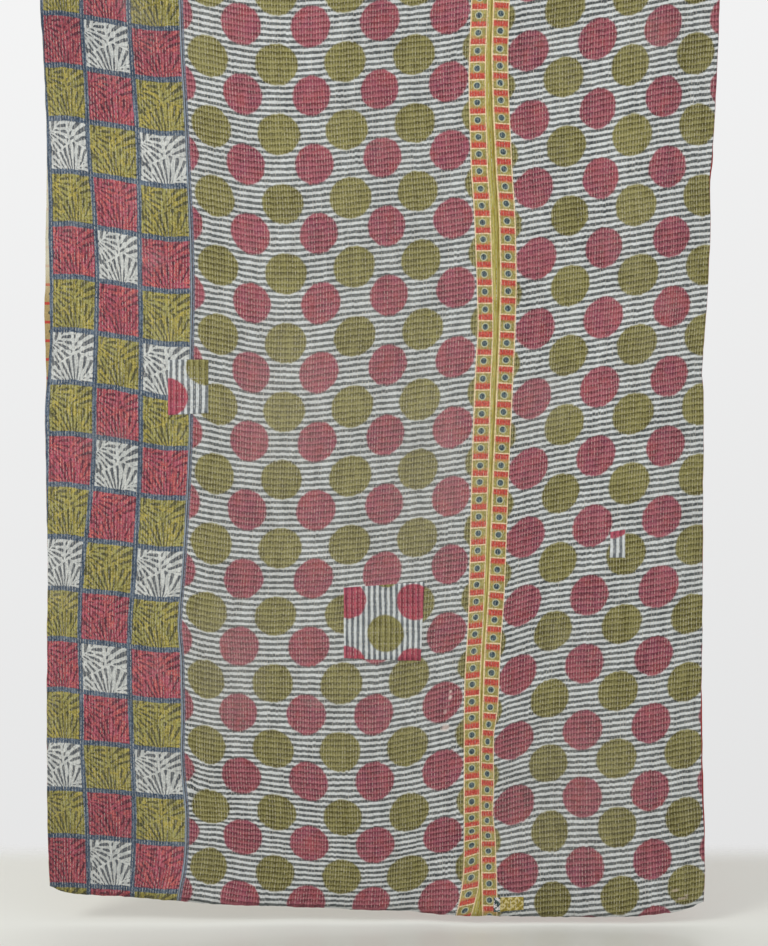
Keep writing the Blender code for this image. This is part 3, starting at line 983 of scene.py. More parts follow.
    # The stripe under a dot shows through, with a fainter line between.
    second = k.ramp(k.saw(k.add(k.mul(at, 2.0), 0.25)), 0.10, 0.34)
    crimson = dye(linear(200, 100, 114) if fresh else CRIMSON,
                  linear(100, 44, 54) if fresh else CRIMSON_DEEP, red_cell)
    crimson = k.mix(k.mul(k.ramp(wash, 0.45, 0.75), 0.22), crimson,
                    linear(156, 76, 72))
    # The crimson leans to purple in one place and to brick in another.
    hue = k.noise(here, 26.0, 2.0, 0.6)
    crimson = k.mix(k.mul(k.ramp(hue, 0.50, 0.66), 0.16), crimson,
                    linear(142, 62, 106))
    crimson = k.mix(k.mul(k.ramp(hue, 0.46, 0.34), 0.16), crimson,
                    linear(186, 72, 60))
    oliveish = dye(OLIVE, OLIVE_DEEP, olive_cell)
    colour = k.mix(olive, ground, oliveish)
    colour = k.mix(red, colour, crimson)
    if band_from is not None:
        b = k.sub(k.add(s, k.mul(k.sub(fine[0], 0.5), 0.0012)), band_from)
        step = REPEAT / 4
        c = k.mul(k.sub(k.add(t, k.mul(k.sub(fine[1], 0.5), 0.0016)), ROW0),
                  1.0 / step)
        c = k.add(c, (-0.19 + 0.20) if turned else (0.21 + 0.80))
        cf = k.m("FRACT", c)
        bar_lo, bar_hi, eye_at = (0.05, 0.36, 0.665) if turned \
            else (0.64, 0.96, 0.34)
        cell = k.join(k.m("FLOOR", c), 3.0, 7.0)
        jit = k.mul(k.sub(k.random(cell), 0.5), 0.05)
        eye = k.m("SQRT", k.add(
            k.m("POWER", k.sub(b, band_wide * 0.49), 2.0),
            k.m("POWER", k.mul(k.sub(cf, k.add(jit, eye_at)), step), 2.0)))
        eye = k.add(eye, k.mul(fibre, 0.0008))
        base = k.mix(k.ramp(k.add(k.mul(fleck, 0.4), k.mul(grainy, 0.3),
                                  k.mul(blotch, 0.3)),
                            0.38, 0.64), linear(132, 122, 62), BAND_OLIVE)
        bar = k.band(k.add(cf, jit, k.mul(k.sub(grainy, 0.5), 0.10)),
                     bar_lo, bar_hi, 0.05)
        # Red has run a little into the olive beside each bar.
        run = k.mul(k.band(k.add(cf, jit), bar_lo - 0.14, bar_hi + 0.14, 0.12),
                    k.ramp(k.add(k.mul(grainy, 0.5), k.mul(blotch, 0.5)),
                           0.42, 0.58))
        base = k.mix(k.mul(run, 0.85), base, linear(204, 132, 84))
        reds = k.mix(k.ramp(k.add(k.mul(fleck, 0.4), k.mul(grainy, 0.6)), 0.38,
                            0.62), linear(168, 60, 54), BAR_RED)
        body = k.mix(bar, base, reds)
        rung = k.ramp(k.mul(k.saw(cf), step), 0.0017, 0.0010)
        broken = k.add(0.62, k.mul(k.ramp(grainy, 0.38, 0.58), 0.38))
        body = k.mix(k.mul(rung, broken), body,
                     k.mix(k.ramp(fleck, 0.3, 0.6), linear(214, 180, 124),
                           CREAM))
        body = k.mix(k.ramp(eye, 0.0092, 0.0076), body, linear(196, 197, 162))
        body = k.mix(k.ramp(eye, 0.0071, 0.0055), body,
                     k.mix(k.ramp(grainy, 0.35, 0.65), linear(46, 60, 66),
                           SLATE_DOT))
        side = k.m("MAXIMUM", k.ramp(b, 0.0030, 0.0022),
                   k.ramp(b, band_wide - 0.0026, band_wide - 0.0018))
        body = k.mix(k.mul(side, broken), body,
                     k.mix(k.ramp(fleck, 0.25, 0.55), linear(206, 184, 126),
                           CREAM))
        inside = k.band(b, 0.0, band_wide, 0.0004)
        colour = k.mix(inside, colour, body)
        # The plain olive margin between the two bands, by the seam.
        lines = k.noise(k.join(k.mul(s, 420.0), k.mul(t, 30.0), seed), 1.0, 2.0,
                        0.6)
        margin = k.mix(k.ramp(lines, 0.34, 0.66), linear(158, 146, 58),
                       linear(202, 191, 118))
        margin = k.mix(k.mul(k.ramp(grainy, 0.58, 0.68), 0.5), margin,
                       linear(214, 132, 64))
        if after:
            # Painted shade: it darkens towards the fold of the seam.
            deep = k.ramp(k.sub(b, band_wide), 0.0045, 0.0085)
            margin = k.mix(k.mul(deep, 0.35), margin, linear(124, 112, 30))
        beyond = k.ramp(b, band_wide - 0.0002, band_wide + 0.0004) if after \
            else k.ramp(b, 0.0002, -0.0004)
        colour = k.mix(beyond, colour, margin)
    if after:
        # The slate hem by the left seam.
        hem = k.add(0.0044, k.mul(k.sub(blotch, 0.5), 0.0030))
        slate = k.mix(k.ramp(grainy, 0.35, 0.65), linear(74, 82, 98),
                      linear(132, 140, 154))
        colour = k.mix(k.mul(k.ramp(k.sub(x_place, hem), 0.0006, -0.0006),
                             0.9), colour, slate)
    # Rubbed places, paler and greyer, and a little all-over soil.
    rub = k.mul(k.ramp(k.noise(here, 5.0, 3.0, 0.6), 0.50, 0.80), 0.09)
    bare = None
    for ws0, wt0, wide, tall, much in worn:
        far = k.m("SQRT", k.add(
            k.m("POWER", k.mul(k.sub(s, ws0), 1.0 / wide), 2.0),
            k.m("POWER", k.mul(k.sub(t, wt0), 1.0 / tall), 2.0)))
        if wide < 0.02:
            far = k.add(far, k.mul(k.sub(grainy, 0.5), 0.9))
            spot = k.mul(k.ramp(far, 1.35, 0.35), much)
            bare = spot if bare is None else k.m("MAXIMUM", bare, spot)
        else:
            far = k.add(far, k.mul(k.sub(blotch, 0.5), 1.2))
            rub = k.m("MAXIMUM", rub, k.mul(k.ramp(far, 1.3, 0.3), much))
    colour = k.mix(rub, colour, linear(188, 182, 170))
    if bare is not None:
        colour = k.mix(bare, colour, linear(228, 204, 196))
    if thread:
        dotted = k.m("MAXIMUM", red, olive)
        if band_from is not None:
            dotted = k.m("MAXIMUM", dotted, inside)
        return sewn_thread(k, here, colour, dotted)
    k.colour(sewn_cloth(k, colour) if rows else colour)
    k.bump(weave_height(k, s, t), 0.35, 0.00022)
    return k


def check_cloth(name, thread=False):
    """The check print: squares of leafy strokes between slate lines."""
    k = Cloth(name)
    u, v, _ = k.split(k.uv())
    here = k.join(u, v, 0.0)
    warp = k.split(k.noise(here, 3.2, 2.0, 0.5, colour=True))
    fine = k.split(k.noise(here, 11.0, 2.0, 0.6, colour=True))
    wu = k.add(u, k.mul(k.sub(warp[0], 0.5), 0.030),
               k.mul(k.sub(fine[0], 0.5), 0.030))
    wv = k.add(v, k.mul(k.sub(warp[1], 0.5), 0.030),
               k.mul(k.sub(fine[1], 0.5), 0.030))
    fibre = k.sub(k.noise(here, 70.0, 2.0, 0.6), 0.5)
    fleck = k.noise(here, 28.0, 3.0, 0.65)
    wash = k.noise(here, 0.9, 3.0, 0.55)
    streak = k.noise(k.join(k.mul(u, 16.0), k.mul(v, 2.8)), 1.0, 3.0, 0.6)
    column, row = k.m("FLOOR", u), k.m("FLOOR", v)
    a = k.m("FRACT", wu)
    b = k.sub(1.0, k.m("FRACT", wv))
    # Which cloth colour: rows repeat in fours, columns 0, 1, 2.
    four = k.m("FLOORED_MODULO", row, 4.0)
    row_b = k.m("COMPARE", four, 0.0, 0.1)
    row_c = k.m("COMPARE", four, 2.0, 0.1)
    mid = k.m("COMPARE", column, 1.0, 0.1)
    outer = k.sub(1.0, mid)
    white = k.m("MAXIMUM", k.mul(row_b, mid), k.mul(row_c, outer))
    red = k.m("MAXIMUM", k.mul(row_b, outer),
              k.mul(k.m("FLOORED_MODULO", row, 2.0), mid))

    # The coloured squares' gaps are finer than the white ones', and broken.
    finer = k.mul(k.sub(1.0, white), k.add(0.035, k.mul(
        k.sub(k.noise(here, 17.0, 2.0, 0.7), 0.5), 0.45)))

    def fan(where, pa, pb, spread, turn, tag, every, wide):
        """Dark gaps between the blades of one spray, tapered at their ends."""
        da, db = k.sub(a, pa), k.sub(b, pb)
        r = k.m("SQRT", k.add(k.m("POWER", da, 2.0), k.m("POWER", db, 2.0)))
        ang = k.mul(k.m("ARCTAN2", db, da), 180.0 / math.pi)
        ray = k.mul(k.add(ang, k.mul(r, turn)), 1.0 / spread)
        luck = k.random(k.join(k.m("FLOOR", k.add(ray, 0.5)), tag, 2.0))
        end = k.ramp(k.saw(k.add(k.mul(r, 1.0 / every), luck)), 0.20, 0.03)
        lean = k.add(k.saw(ray), k.mul(fibre, 0.10), k.mul(end, 0.24),
                     k.mul(k.sub(luck, 0.5), 0.08), finer,
                     k.mul(k.sub(1.0, where), 0.5))
        return k.ramp(lean, wide + 0.07, wide - 0.07)

    # Sprays that lean different ways, with a pale rib along each boundary:
    # long blades up from the foot, short ones off the rib at the right, a fan
    # opening from the left side, and small ones in the corners.
    rib_x = k.add(0.53, k.mul(k.sub(b, 0.5), -0.10))
    rib_l = k.add(0.24, k.mul(a, 0.58))          # from left foot, up right
    right = k.sub(a, rib_x)
    high = k.sub(b, k.sub(0.60, k.mul(k.m("ABSOLUTE", k.sub(a, 0.62)), 0.34)))
    above = k.sub(b, rib_l)
    left_foot = k.sub(k.add(a, k.mul(b, 0.55)), 0.44)
    top_left = k.sub(k.sub(b, k.mul(a, 0.9)), 0.66)
    low_right = k.sub(k.sub(a, k.mul(b, 1.1)), 0.62)
    sprays = (
        # where, focus a and b, degrees a blade, turn, tag, length, half gap
        (k.mul(k.ramp(above, 0.0, -0.03), k.ramp(high, 0.0, -0.03),
               k.ramp(left_foot, 0.0, 0.03), k.ramp(low_right, 0.0, -0.03)),
         0.58, -0.18, 11.5, -6.0, 1.0, 0.90, 0.26),
        (k.mul(k.ramp(high, 0.0, 0.03), k.ramp(right, 0.01, 0.04)),
         0.24, 0.28, 10.5, 14.0, 2.0, 0.40, 0.27),
        (k.mul(k.ramp(above, 0.0, 0.03), k.ramp(right, -0.01, -0.04),
               k.ramp(top_left, 0.0, -0.03)),
         -0.10, 0.80, 12.5, 10.0, 3.0, 0.30, 0.27),
        (k.ramp(left_foot, 0.0, -0.03), 0.46, -0.10, 13.0, -14.0, 4.0, 0.26,
         0.26),
        (k.ramp(top_left, 0.0, 0.03), 0.10, 0.46, 15.0, 10.0, 5.0, 0.30,
         0.26),
        (k.ramp(low_right, 0.0, 0.03), 0.46, 0.06, 11.0, 8.0, 6.0, 0.34,
         0.26),
    )
    marks = None
    for where, pa, pb, spread, turn, tag, every, wide in sprays:
        one = fan(where, pa, pb, spread, turn, tag, every, wide)
        marks = one if marks is None else k.m("MAXIMUM", marks, one)
    # Squares with the slate grid between them.
    edge = k.m("MAXIMUM", k.m("ABSOLUTE", k.sub(a, 0.5)),
               k.m("ABSOLUTE", k.sub(b, 0.5)))
    square = k.ramp(k.add(edge, k.mul(fibre, 0.020),
                          k.mul(k.sub(fleck, 0.5), 0.030)), 0.460, 0.442)
    square = k.mul(square, k.ramp(u, -0.030, -0.010))
    grainy = k.noise(here, 14.0, 2.0, 0.7)
    ru, _, _ = k.split(k.uv("Rows"))
    by_row = k.sub(k.ramp(k.saw(k.add(ru, k.mul(k.sub(fleck, 0.5), 0.5))),
                          0.44, 0.14), 0.52)
    tone = k.add(k.mul(fleck, 0.28), k.mul(wash, 0.12), k.mul(streak, 0.34),
                 k.mul(grainy, 0.26), k.mul(by_row, 0.05))
    # Less faded in the strip's two outer corners.
    corner = k.m("MAXIMUM",
                 k.mul(k.ramp(v, 2.6, 0.0), k.sub(1.0, k.mul(u, 0.20))),
                 k.mul(k.ramp(v, 14.2, 16.4), k.sub(0.8, k.mul(u, 0.28)),
                       k.ramp(u, 2.9, 2.5)))
    tone = k.sub(k.ramp(tone, 0.41, 0.60), k.mul(corner, 0.42))
    tone = k.m("MAXIMUM", tone, -0.25)
    slate = k.mix(tone, linear(54, 67, 84), linear(110, 124, 140))
    gap = k.mix(tone, linear(76, 81, 88), linear(130, 133, 134))
    white_square = k.mix(marks, k.mix(k.m("MAXIMUM", tone, 0.0),
                                      linear(180, 183, 181),
                                      linear(222, 224, 220)), gap)
    # The dyes lean to another shade here and there.
    hue = k.noise(here, 4.2, 3.0, 0.65)
    red_light = k.mix(k.ramp(hue, 0.42, 0.60), linear(190, 97, 115),
                      linear(209, 108, 103))
    red_square = k.mix(marks, k.mix(tone, linear(134, 64, 74), red_light),
                       k.mix(tone, linear(82, 43, 54), linear(138, 72, 84)))
    olive_light = k.mix(k.ramp(hue, 0.42, 0.60), linear(172, 168, 104),
                        linear(192, 176, 90))
    olive_square = k.mix(marks, k.mix(tone, linear(120, 113, 58), olive_light),
                         k.mix(tone, linear(68, 68, 46), linear(118, 113, 76)))
    inside = k.mix(red, olive_square, red_square)
    inside = k.mix(white, inside, white_square)
    colour = k.mix(square, slate, inside)
    by_seam = k.band(u, 2.962, 2.980, 0.006)
    colour = k.mix(k.mul(by_seam, 0.55), colour, linear(196, 206, 214))
    rub = k.ramp(k.noise(here, 0.7, 3.0, 0.6), 0.50, 0.80)
    colour = k.mix(k.mul(rub, 0.14), colour, linear(178, 174, 170))
    s, t = k.mul(u, 0.106), k.mul(v, 0.111)
    if thread:
        plain = k.mul(k.sub(1.0, white), square)
        return sewn_thread(k, k.join(s, t), colour, k.mul(plain, 0.8))
    k.colour(sewn_cloth(k, colour))
    k.bump(weave_height(k, s, t), 0.35, 0.00022)
    return k


def backing_cloth(name, base, shade, motif):
    """Old plain-weave cloth of the back, with a sparse small print."""
    k = Cloth(name)
    s, t, _ = k.split(k.uv())
    here = k.join(s, t, 4.0)
    fleck = k.noise(here, 240.0, 3.0, 0.65)
    fibre = k.sub(k.noise(here, 600.0, 2.0, 0.6), 0.5)
    wash = k.noise(here, 7.0, 3.0, 0.55)
    tone = k.ramp(k.add(k.mul(fleck, 0.5), k.mul(wash, 0.5)), 0.32, 0.70)
    colour = k.mix(tone, shade, base)
    colour = motif(k, s, t, colour, fleck)
    # Kantha rows from the other side: short light stitches in rows.
    ru, rv, _ = k.split(k.uv("Rows"))
    thread = k.mul(k.ramp(k.saw(ru), 0.140, 0.100),
                   k.ramp(k.saw(rv), 0.16, 0.21))
    # Painted shade in the valleys along the stitch rows.
    valley = k.ramp(k.saw(ru), 0.34, 0.10)
    colour = k.mix(k.mul(valley, 0.16), colour, linear(60, 44, 34))
    colour = k.mix(k.mul(thread, 0.90), colour, THREAD)
    k.colour(colour)
    k.bump(k.add(weave_height(k, s, t), k.mul(fibre, 0.6),
                 k.mul(thread, 3.0), k.mul(valley, -1.2)), 0.4, 0.00025)
    return k


def ochre_print(k, s, t, colour, fleck):
    """Red bars and dark dots in rows, on ochre, bleached along one side."""
    pale = k.mul(k.ramp(s, 0.020, 0.008), k.ramp(t, 0.84, 0.74))
    colour = k.mix(k.mul(pale, 0.85), colour, linear(206, 202, 180))
    s = k.add(s, 0.018)
    row = k.saw(k.mul(t, 1.0 / 0.040))
    bar = k.mul(k.ramp(row, 0.085, 0.065),
                k.band(k.saw(k.mul(s, 1.0 / 0.090)), 0.08, 0.42, 0.01),
                k.sub(1.0, k.mul(pale, 0.85)))
    colour = k.mix(bar, colour, k.mix(fleck, linear(150, 50, 42),
                                      linear(206, 84, 66)))
    cs = k.mul(k.saw(k.mul(s, 1.0 / 0.030)), 0.030)
    ct = k.mul(k.saw(k.add(k.mul(t, 1.0 / 0.040), 0.5)), 0.040)
    r = k.m("SQRT", k.add(k.m("POWER", cs, 2.0), k.m("POWER", ct, 2.0)))
    colour = k.mix(k.ramp(r, 0.0042, 0.0034), colour, linear(74, 78, 62))
    return colour


def red_print(k, s, t, colour, fleck):
    """Small cream four-petal flowers, staggered, on red."""
    for shift in (0.0, 0.5):
        a = k.add(k.mul(s, 1.0 / 0.060), shift)
        b = k.add(k.mul(t, 1.0 / 0.060), shift)
        ca = k.sub(k.m("FRACT", a), 0.5)
        cb = k.sub(k.m("FRACT", b), 0.5)
        r = k.m("SQRT", k.add(k.m("POWER", ca, 2.0), k.m("POWER", cb, 2.0)))
        ang = k.m("ARCTAN2", cb, ca)
        petal = k.m("ABSOLUTE", k.m("COSINE", k.mul(ang, 2.0)))
        size = k.add(0.05, k.mul(petal, 0.075))
        mask = k.ramp(k.sub(r, size), 0.012, -0.012)
        eye = k.ramp(r, 0.032, 0.024)
        colour = k.mix(mask, colour, k.mix(fleck, linear(206, 180, 132),
                                           linear(232, 214, 170)))
        colour = k.mix(eye, colour, linear(170, 140, 50))
    return colour


def scrap_cloth(name):
    """The leaf-print scrap at the hem: cream sprigs on olive yellow."""
    k = Cloth(name)
    s, t, _ = k.split(k.uv())
    here = k.join(s, t, 8.0)
    fleck = k.noise(here, 260.0, 3.0, 0.65)
    fibre = k.sub(k.noise(here, 600.0, 2.0, 0.6), 0.5)
    warp = k.noise(here, 90.0, 2.0, 0.6)
    base = k.mix(k.ramp(fleck, 0.3, 0.7), linear(128, 112, 44),
                 linear(170, 152, 66))
    # Short leaf strokes, each leaning its own way.
    marks = None
    for size, slant, tag in ((0.0190, 0.9, 1.0), (0.0150, -0.7, 2.0)):
        a = k.add(k.mul(k.add(s, k.mul(t, slant)), 1.0 / size),
                  k.mul(warp, 0.8), tag * 0.37)
        b = k.add(k.mul(k.sub(t, k.mul(s, slant)), 1.4 / size),
                  k.mul(warp, 0.8))
        cell = k.join(k.m("FLOOR", k.add(a, 0.5)), k.m("FLOOR", k.add(b, 0.5)),
                      tag)
        leaf = k.mul(k.ramp(k.saw(b), 0.24, 0.14), k.ramp(k.saw(a), 0.42, 0.30),
                     k.ramp(k.random(cell), 0.30, 0.34))
        marks = leaf if marks is None else k.m("MAXIMUM", marks, leaf)
    colour = k.mix(k.mul(marks, 0.8), base,
                   k.mix(fleck, linear(196, 178, 112), linear(236, 222, 170)))
    end = k.ramp(k.add(s, k.mul(k.sub(warp, 0.5), 0.006)), 0.2535, 0.2515)
    bits = k.mix(k.ramp(warp, 0.46, 0.52), linear(56, 66, 70),
                 linear(222, 216, 214))
    bits = k.mix(k.ramp(k.noise(here, 210.0, 1.0), 0.56, 0.62), bits,
                 linear(96, 124, 120))
    colour = k.mix(end, colour, bits)
    k.colour(colour)
    k.bump(weave_height(k, s, t), 0.35, 0.00022)
    return k


def thread_cloth(name, colour, low):
    k = Cloth(name, roughness=0.8, sheen=0.2)
    n = k.tree.nodes.new("ShaderNodeTexCoord")
    f = k.noise(n.outputs["Object"], 60.0, 2.0)
    fine = k.noise(n.outputs["Object"], 700.0, 2.0)
    k.colour(k.mix(k.ramp(k.add(k.mul(f, 0.7), k.mul(fine, 0.3)), 0.35, 0.65),
                   low, colour))
    twist = k.noise(n.outputs["Object"], 2200.0, 1.0)
    k.bump(twist, 0.4, 0.0001)
    return k


# ------------------------------------------------------------------ stitches
def stitch_mesh(name, starts, ends, half_wide, high, sink=0.00012):
    """Many small stitches in one mesh: each a raised grain of thread.

    starts and ends are (n, 3) points on the cloth; the face looks along -Y.
    A stitch is a ridge with two pointed ends that go down into the cloth.
    """
    n = len(starts)
    run = ends - starts
    side = np.stack([run[:, 2], np.zeros(n), -run[:, 0]], 1)
    side /= np.maximum(np.linalg.norm(side, axis=1), 1e-9)[:, None]
    out = np.array([0.0, -1.0, 0.0])
    half_wide = np.broadcast_to(half_wide, (n,))[:, None]
    high = np.broadcast_to(high, (n,))[:, None]
    points = [starts - out * sink * 2]
    for share in (0.20, 0.80):
        mid = starts + run * share
        points += [mid - side * half_wide - out * sink,
                   mid + out * high,
                   mid + side * half_wide - out * sink]
    points.append(ends - out * sink * 2)
    verts = np.stack(points, 1).reshape(-1, 3)
    base = (np.arange(n) * 8)[:, None]
    # 0 start; 1 left, 2 top, 3 right; 4 left, 5 top, 6 right; 7 end
    one = np.array([[0, 2, 1], [0, 3, 2], [1, 2, 4], [2, 5, 4],
                    [3, 6, 2], [6, 5, 2], [7, 4, 5], [7, 5, 6]])
    faces = (base[:, :, None] + one[None]).reshape(-1, 3)
    me = bpy.data.meshes.new(name)
    me.from_pydata(verts.tolist(), [], faces.tolist())
    me.polygons.foreach_set("use_smooth", np.ones(len(faces), bool))
    wide = int(math.ceil(math.sqrt(n)))
    cell = np.stack([np.arange(n) % wide, np.arange(n) // wide], 1) / wide
    spots = np.array([[0.5, 0.97], [0.08, 0.75], [0.5, 0.75], [0.92, 0.75],
                      [0.08, 0.25], [0.5, 0.25], [0.92, 0.25], [0.5, 0.03]])
    uv = cell[:, None, None, :] + spots[one][None] / wide
    layer = me.uv_layers.new(name="OFBake")
    layer.data.foreach_set("uv", uv.astype(np.float32).ravel())
    me.update()
    obj = bpy.data.objects.new(name, me)
    bpy.context.scene.collection.objects.link(obj)
    return obj


def running_stitches(name, grid, y, seed):
    """Stitches along every inner stitch row of a grid."""
    rng = np.random.default_rng(seed)
    starts, ends, wides, highs = [], [], [], []
    for r in range(1, grid.ribs):
        c = r * grid.per_rib
        pos = np.arange(grid.count) + grid.offset[r]
        near = pos + grid.uneven(r, pos)
        after = np.append(near[1:], near[-1] + 1.0)
        start = near + rng.uniform(-0.08, 0.08, grid.count)
        size = (after - near) * (STITCH_SHARE
                                 + rng.uniform(-0.12, 0.08, grid.count))
        j0 = start / grid.count * grid.rows
        j1 = (start + size) / grid.count * grid.rows
        ok = ((j0 > 0.15) & (j1 < grid.rows - 0.25)
              & (rng.random(grid.count) > 0.015))
        j0, j1 = j0[ok], j1[ok]
        line = np.stack([grid.x[c], y[c], grid.z[c]], 1)

        def point(j):
            k = np.minimum(j.astype(int), grid.rows - 1)
            w = (j - k)[:, None]
            return line[k] * (1 - w) + line[k + 1] * w

        starts.append(point(j0))
        ends.append(point(j1))
        wides.append(rng.uniform(0.00066, 0.00092, len(j0)))
        highs.append(rng.uniform(0.00055, 0.00078, len(j0)))
    return stitch_mesh(name, np.vstack(starts), np.vstack(ends),
                       np.concatenate(wides), np.concatenate(highs))


# ------------------------------------------------------------------- patches
def patch_sheet(name, corners, spacing=0.0016):
    """A scrap sewn on: a closed sheet that stands proud, edges turned in."""
    c = np.array(corners, float)
    wide = max(np.linalg.norm(c[1] - c[0]), np.linalg.norm(c[2] - c[3]))
    tall = max(np.linalg.norm(c[3] - c[0]), np.linalg.norm(c[2] - c[1]))
    nc, nr = int(wide / spacing) + 4, int(tall / (spacing * 1.5)) + 4
    a, b = np.meshgrid(np.linspace(0, 1, nc + 1), np.linspace(0, 1, nr + 1),
                       indexing="ij")
    p = ((c[0] * (1 - a[..., None]) + c[1] * a[..., None])
         * (1 - b[..., None])
         + (c[3] * (1 - a[..., None]) + c[2] * a[..., None]) * b[..., None])
    edge = np.minimum(np.minimum(a, 1 - a) * wide,
                      np.minimum(b, 1 - b) * tall)
    wob = 0.0005 * value_noise(p[..., 0] / 0.007, p[..., 1] / 0.007, 31)
    wob2 = 0.0005 * value_noise(p[..., 0] / 0.007 + 5, p[..., 1] / 0.007, 32)
    near = np.exp(-(edge / 0.004) ** 2)
    x, z = p[..., 0] + wob * near, p[..., 1] + wob2 * near

    class G:
        pass
    g = G()
    g.x, g.z = x, z
    q = np.clip(edge / 0.0028, 0, 1)
    roll = np.sqrt(np.clip(1 - (1 - q) ** 2, 0, 1))
    plump = 0.00035 * np.exp(-((edge - 0.003) / 0.003) ** 2)
    ribs = 0.00030 * np.abs(np.sin(np.pi * x / ROW_GAP)) \
        + 0.0002 * value_noise(x / 0.012, z / 0.012, 33)
    front = 0.0021 + (PATCH_FRONT - 0.0021 + 0.0001) * roll + plump + ribs
    y = -(surface(x, z) + front)
    back = -(surface(x, z) + 0.0012)
    return g, y, back, nc, nr


# ---------------------------------------------------------------- the quilt
def left_edge(v):
    return along(LEFT_EDGE, v) + edge_wobble(v, 1)


def right_edge(v):
    return along(RIGHT_EDGE, v) + edge_wobble(v, 2)


def left_seam(v):
    return along(LEFT_SEAM, v)


def right_seam(v):
    z = hang_z(np.full(np.shape(v), 0.22), np.asarray(v, float))
    outer, start = along(BAND_OUTER, z), along(BAND_RIGHT, z)
    return start - np.minimum(0.0022, (start - outer) / 2)


HALF_SEAM = 0.0002
SHEETS = {
    # name: left line, right line, ribs, flat size, slot, UV, stacks
    "left_strip": (lambda v: left_edge(v) + np.maximum(
        0.0, along(STRIP_DRAWN_IN, v)), lambda v: left_seam(v) - HALF_SEAM, 49,
                   (0.302, 2.135), "check_print", check_print, 3),
    "centre_panel": (lambda v: left_seam(v) + HALF_SEAM,
                     lambda v: right_seam(v) - HALF_SEAM, 110,
                     (0.667, 2.160), "dot_print", centre_print, 2),
    "right_panel": (lambda v: right_seam(v) + HALF_SEAM, right_edge, 79,
                    (0.482, 2.175), "dot_print", right_print, 2),
}
# Worn places: x, z, wide, tall, how much.  Small ones are bare spots.
WORN_CENTRE = ((-0.060, -1.250, 0.42, 0.62, 0.075),
               (-0.210, -1.060, 0.17, 0.24, 0.12),
               (-0.340, -1.620, 0.12, 0.20, 0.13),
               (0.090, -1.220, 0.13, 0.30, 0.13),
               (0.1442, -1.6780, 0.0032, 0.0036, 0.85),
               (0.1436, -1.6905, 0.0042, 0.0052, 0.90),
               (0.1330, -1.7570, 0.0090, 0.0075, 0.65),
               (0.1330, -1.7225, 0.0035, 0.0055, 0.45),
               (-0.140, -1.700, 0.05, 0.02, 0.15))
WORN_RIGHT = ((0.340, -1.050, 0.08, 0.10, 0.08),
              (0.400, -1.900, 0.20, 0.22, 0.07),
              (0.6330, -2.1120, 0.0100, 0.0035, 0.35),
              (0.6480, -2.1300, 0.0130, 0.0030, 0.35),
              (0.6580, -2.1230, 0.0040, 0.0030, 0.40))


def worn_places(table, place):
    """The table's places in the coordinates of the print."""
    out = []
    for x, z, wide, tall, much in table:
        s, t = place(np.array([x]), np.array([z]))
        out.append((float(s[0]), float(t[0]), wide, tall, much))
    return out


def prints(thread):
    tail = "_thread" if thread else ""
    return {
        "left_strip": check_cloth("check_print_cloth" + tail, thread=thread),
        "centre_panel": dot_cloth("dot_print_centre" + tail, 0.128, 0.99,
                                  band_from=BAND_AT, after=True, seed=1.0,
                                  thread=thread, aside=0.0062 / REPEAT,
                                  wide=(0.0428, 0.0440),
                                  worn=worn_places(WORN_CENTRE, centre_print)),
        "right_panel": dot_cloth("dot_print_right" + tail, 0.0765, 0.21,
                                 band_from=0.0, band_wide=RIGHT_BAND_WIDE,
                                 turned=True, seed=2.0, thread=thread,
                                 aside=-0.0050 / REPEAT,
                                 wide=(0.0424, 0.0422),
                                 worn=worn_places(WORN_RIGHT, right_print)),
    }


MATERIALS, THREADS = prints(False), prints(True)

for number, (name, spec) in enumerate(SHEETS.items()):
    left, right, ribs, flat, slot, place, stacks = spec
    g = Grid(left, right, ribs, 4, 40 + 10 * number)
    fall = edge_fall(g)
    top = PANEL_BACK + (PANEL_FRONT - 0.0003 - PANEL_BACK + g.rib) * fall
    y = -(g.f + top)
    piece = closed_sheet(name + "_cloth", g, y, -(g.f + PANEL_BACK * 0.6),
                         8, 1, stacks=stacks)
    write_map(piece, "Cloth", place)
    piece.data.materials.append(MATERIALS[name].mat)
    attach(piece, "root")
    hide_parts(name)
    sewn = running_stitches(name + "_stitches", g, y, 70 + number)
    write_map(sewn, "Cloth", place)
    sewn.data.materials.append(THREADS[name].mat)
    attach(sewn, "root")

# Patches.
PATCH_CLOTH = dot_cloth("dot_print_scrap", 0.0765, 0.32, seed=5.0, rows=False,
                        fresh=True, aside=0.0098 / REPEAT)
PATCH_THREAD = dot_cloth("dot_print_scrap_thread", 0.0765, 0.32, seed=5.0,
                         thread=True, rows=False, fresh=True,
                         aside=0.0098 / REPEAT)
PATCH_CLOTH_TWO = dot_cloth("dot_print_scrap_two", 0.0765, 0.93, seed=6.0,
                            rows=False, fresh=True, aside=0.0039 / REPEAT,
                            lower_by=0.0046 / REPEAT)
LIGHT_THREAD = thread_cloth("thread_white", THREAD, linear(176, 170, 160))
HEM_SCRAP = scrap_cloth("leaf_print_scrap")
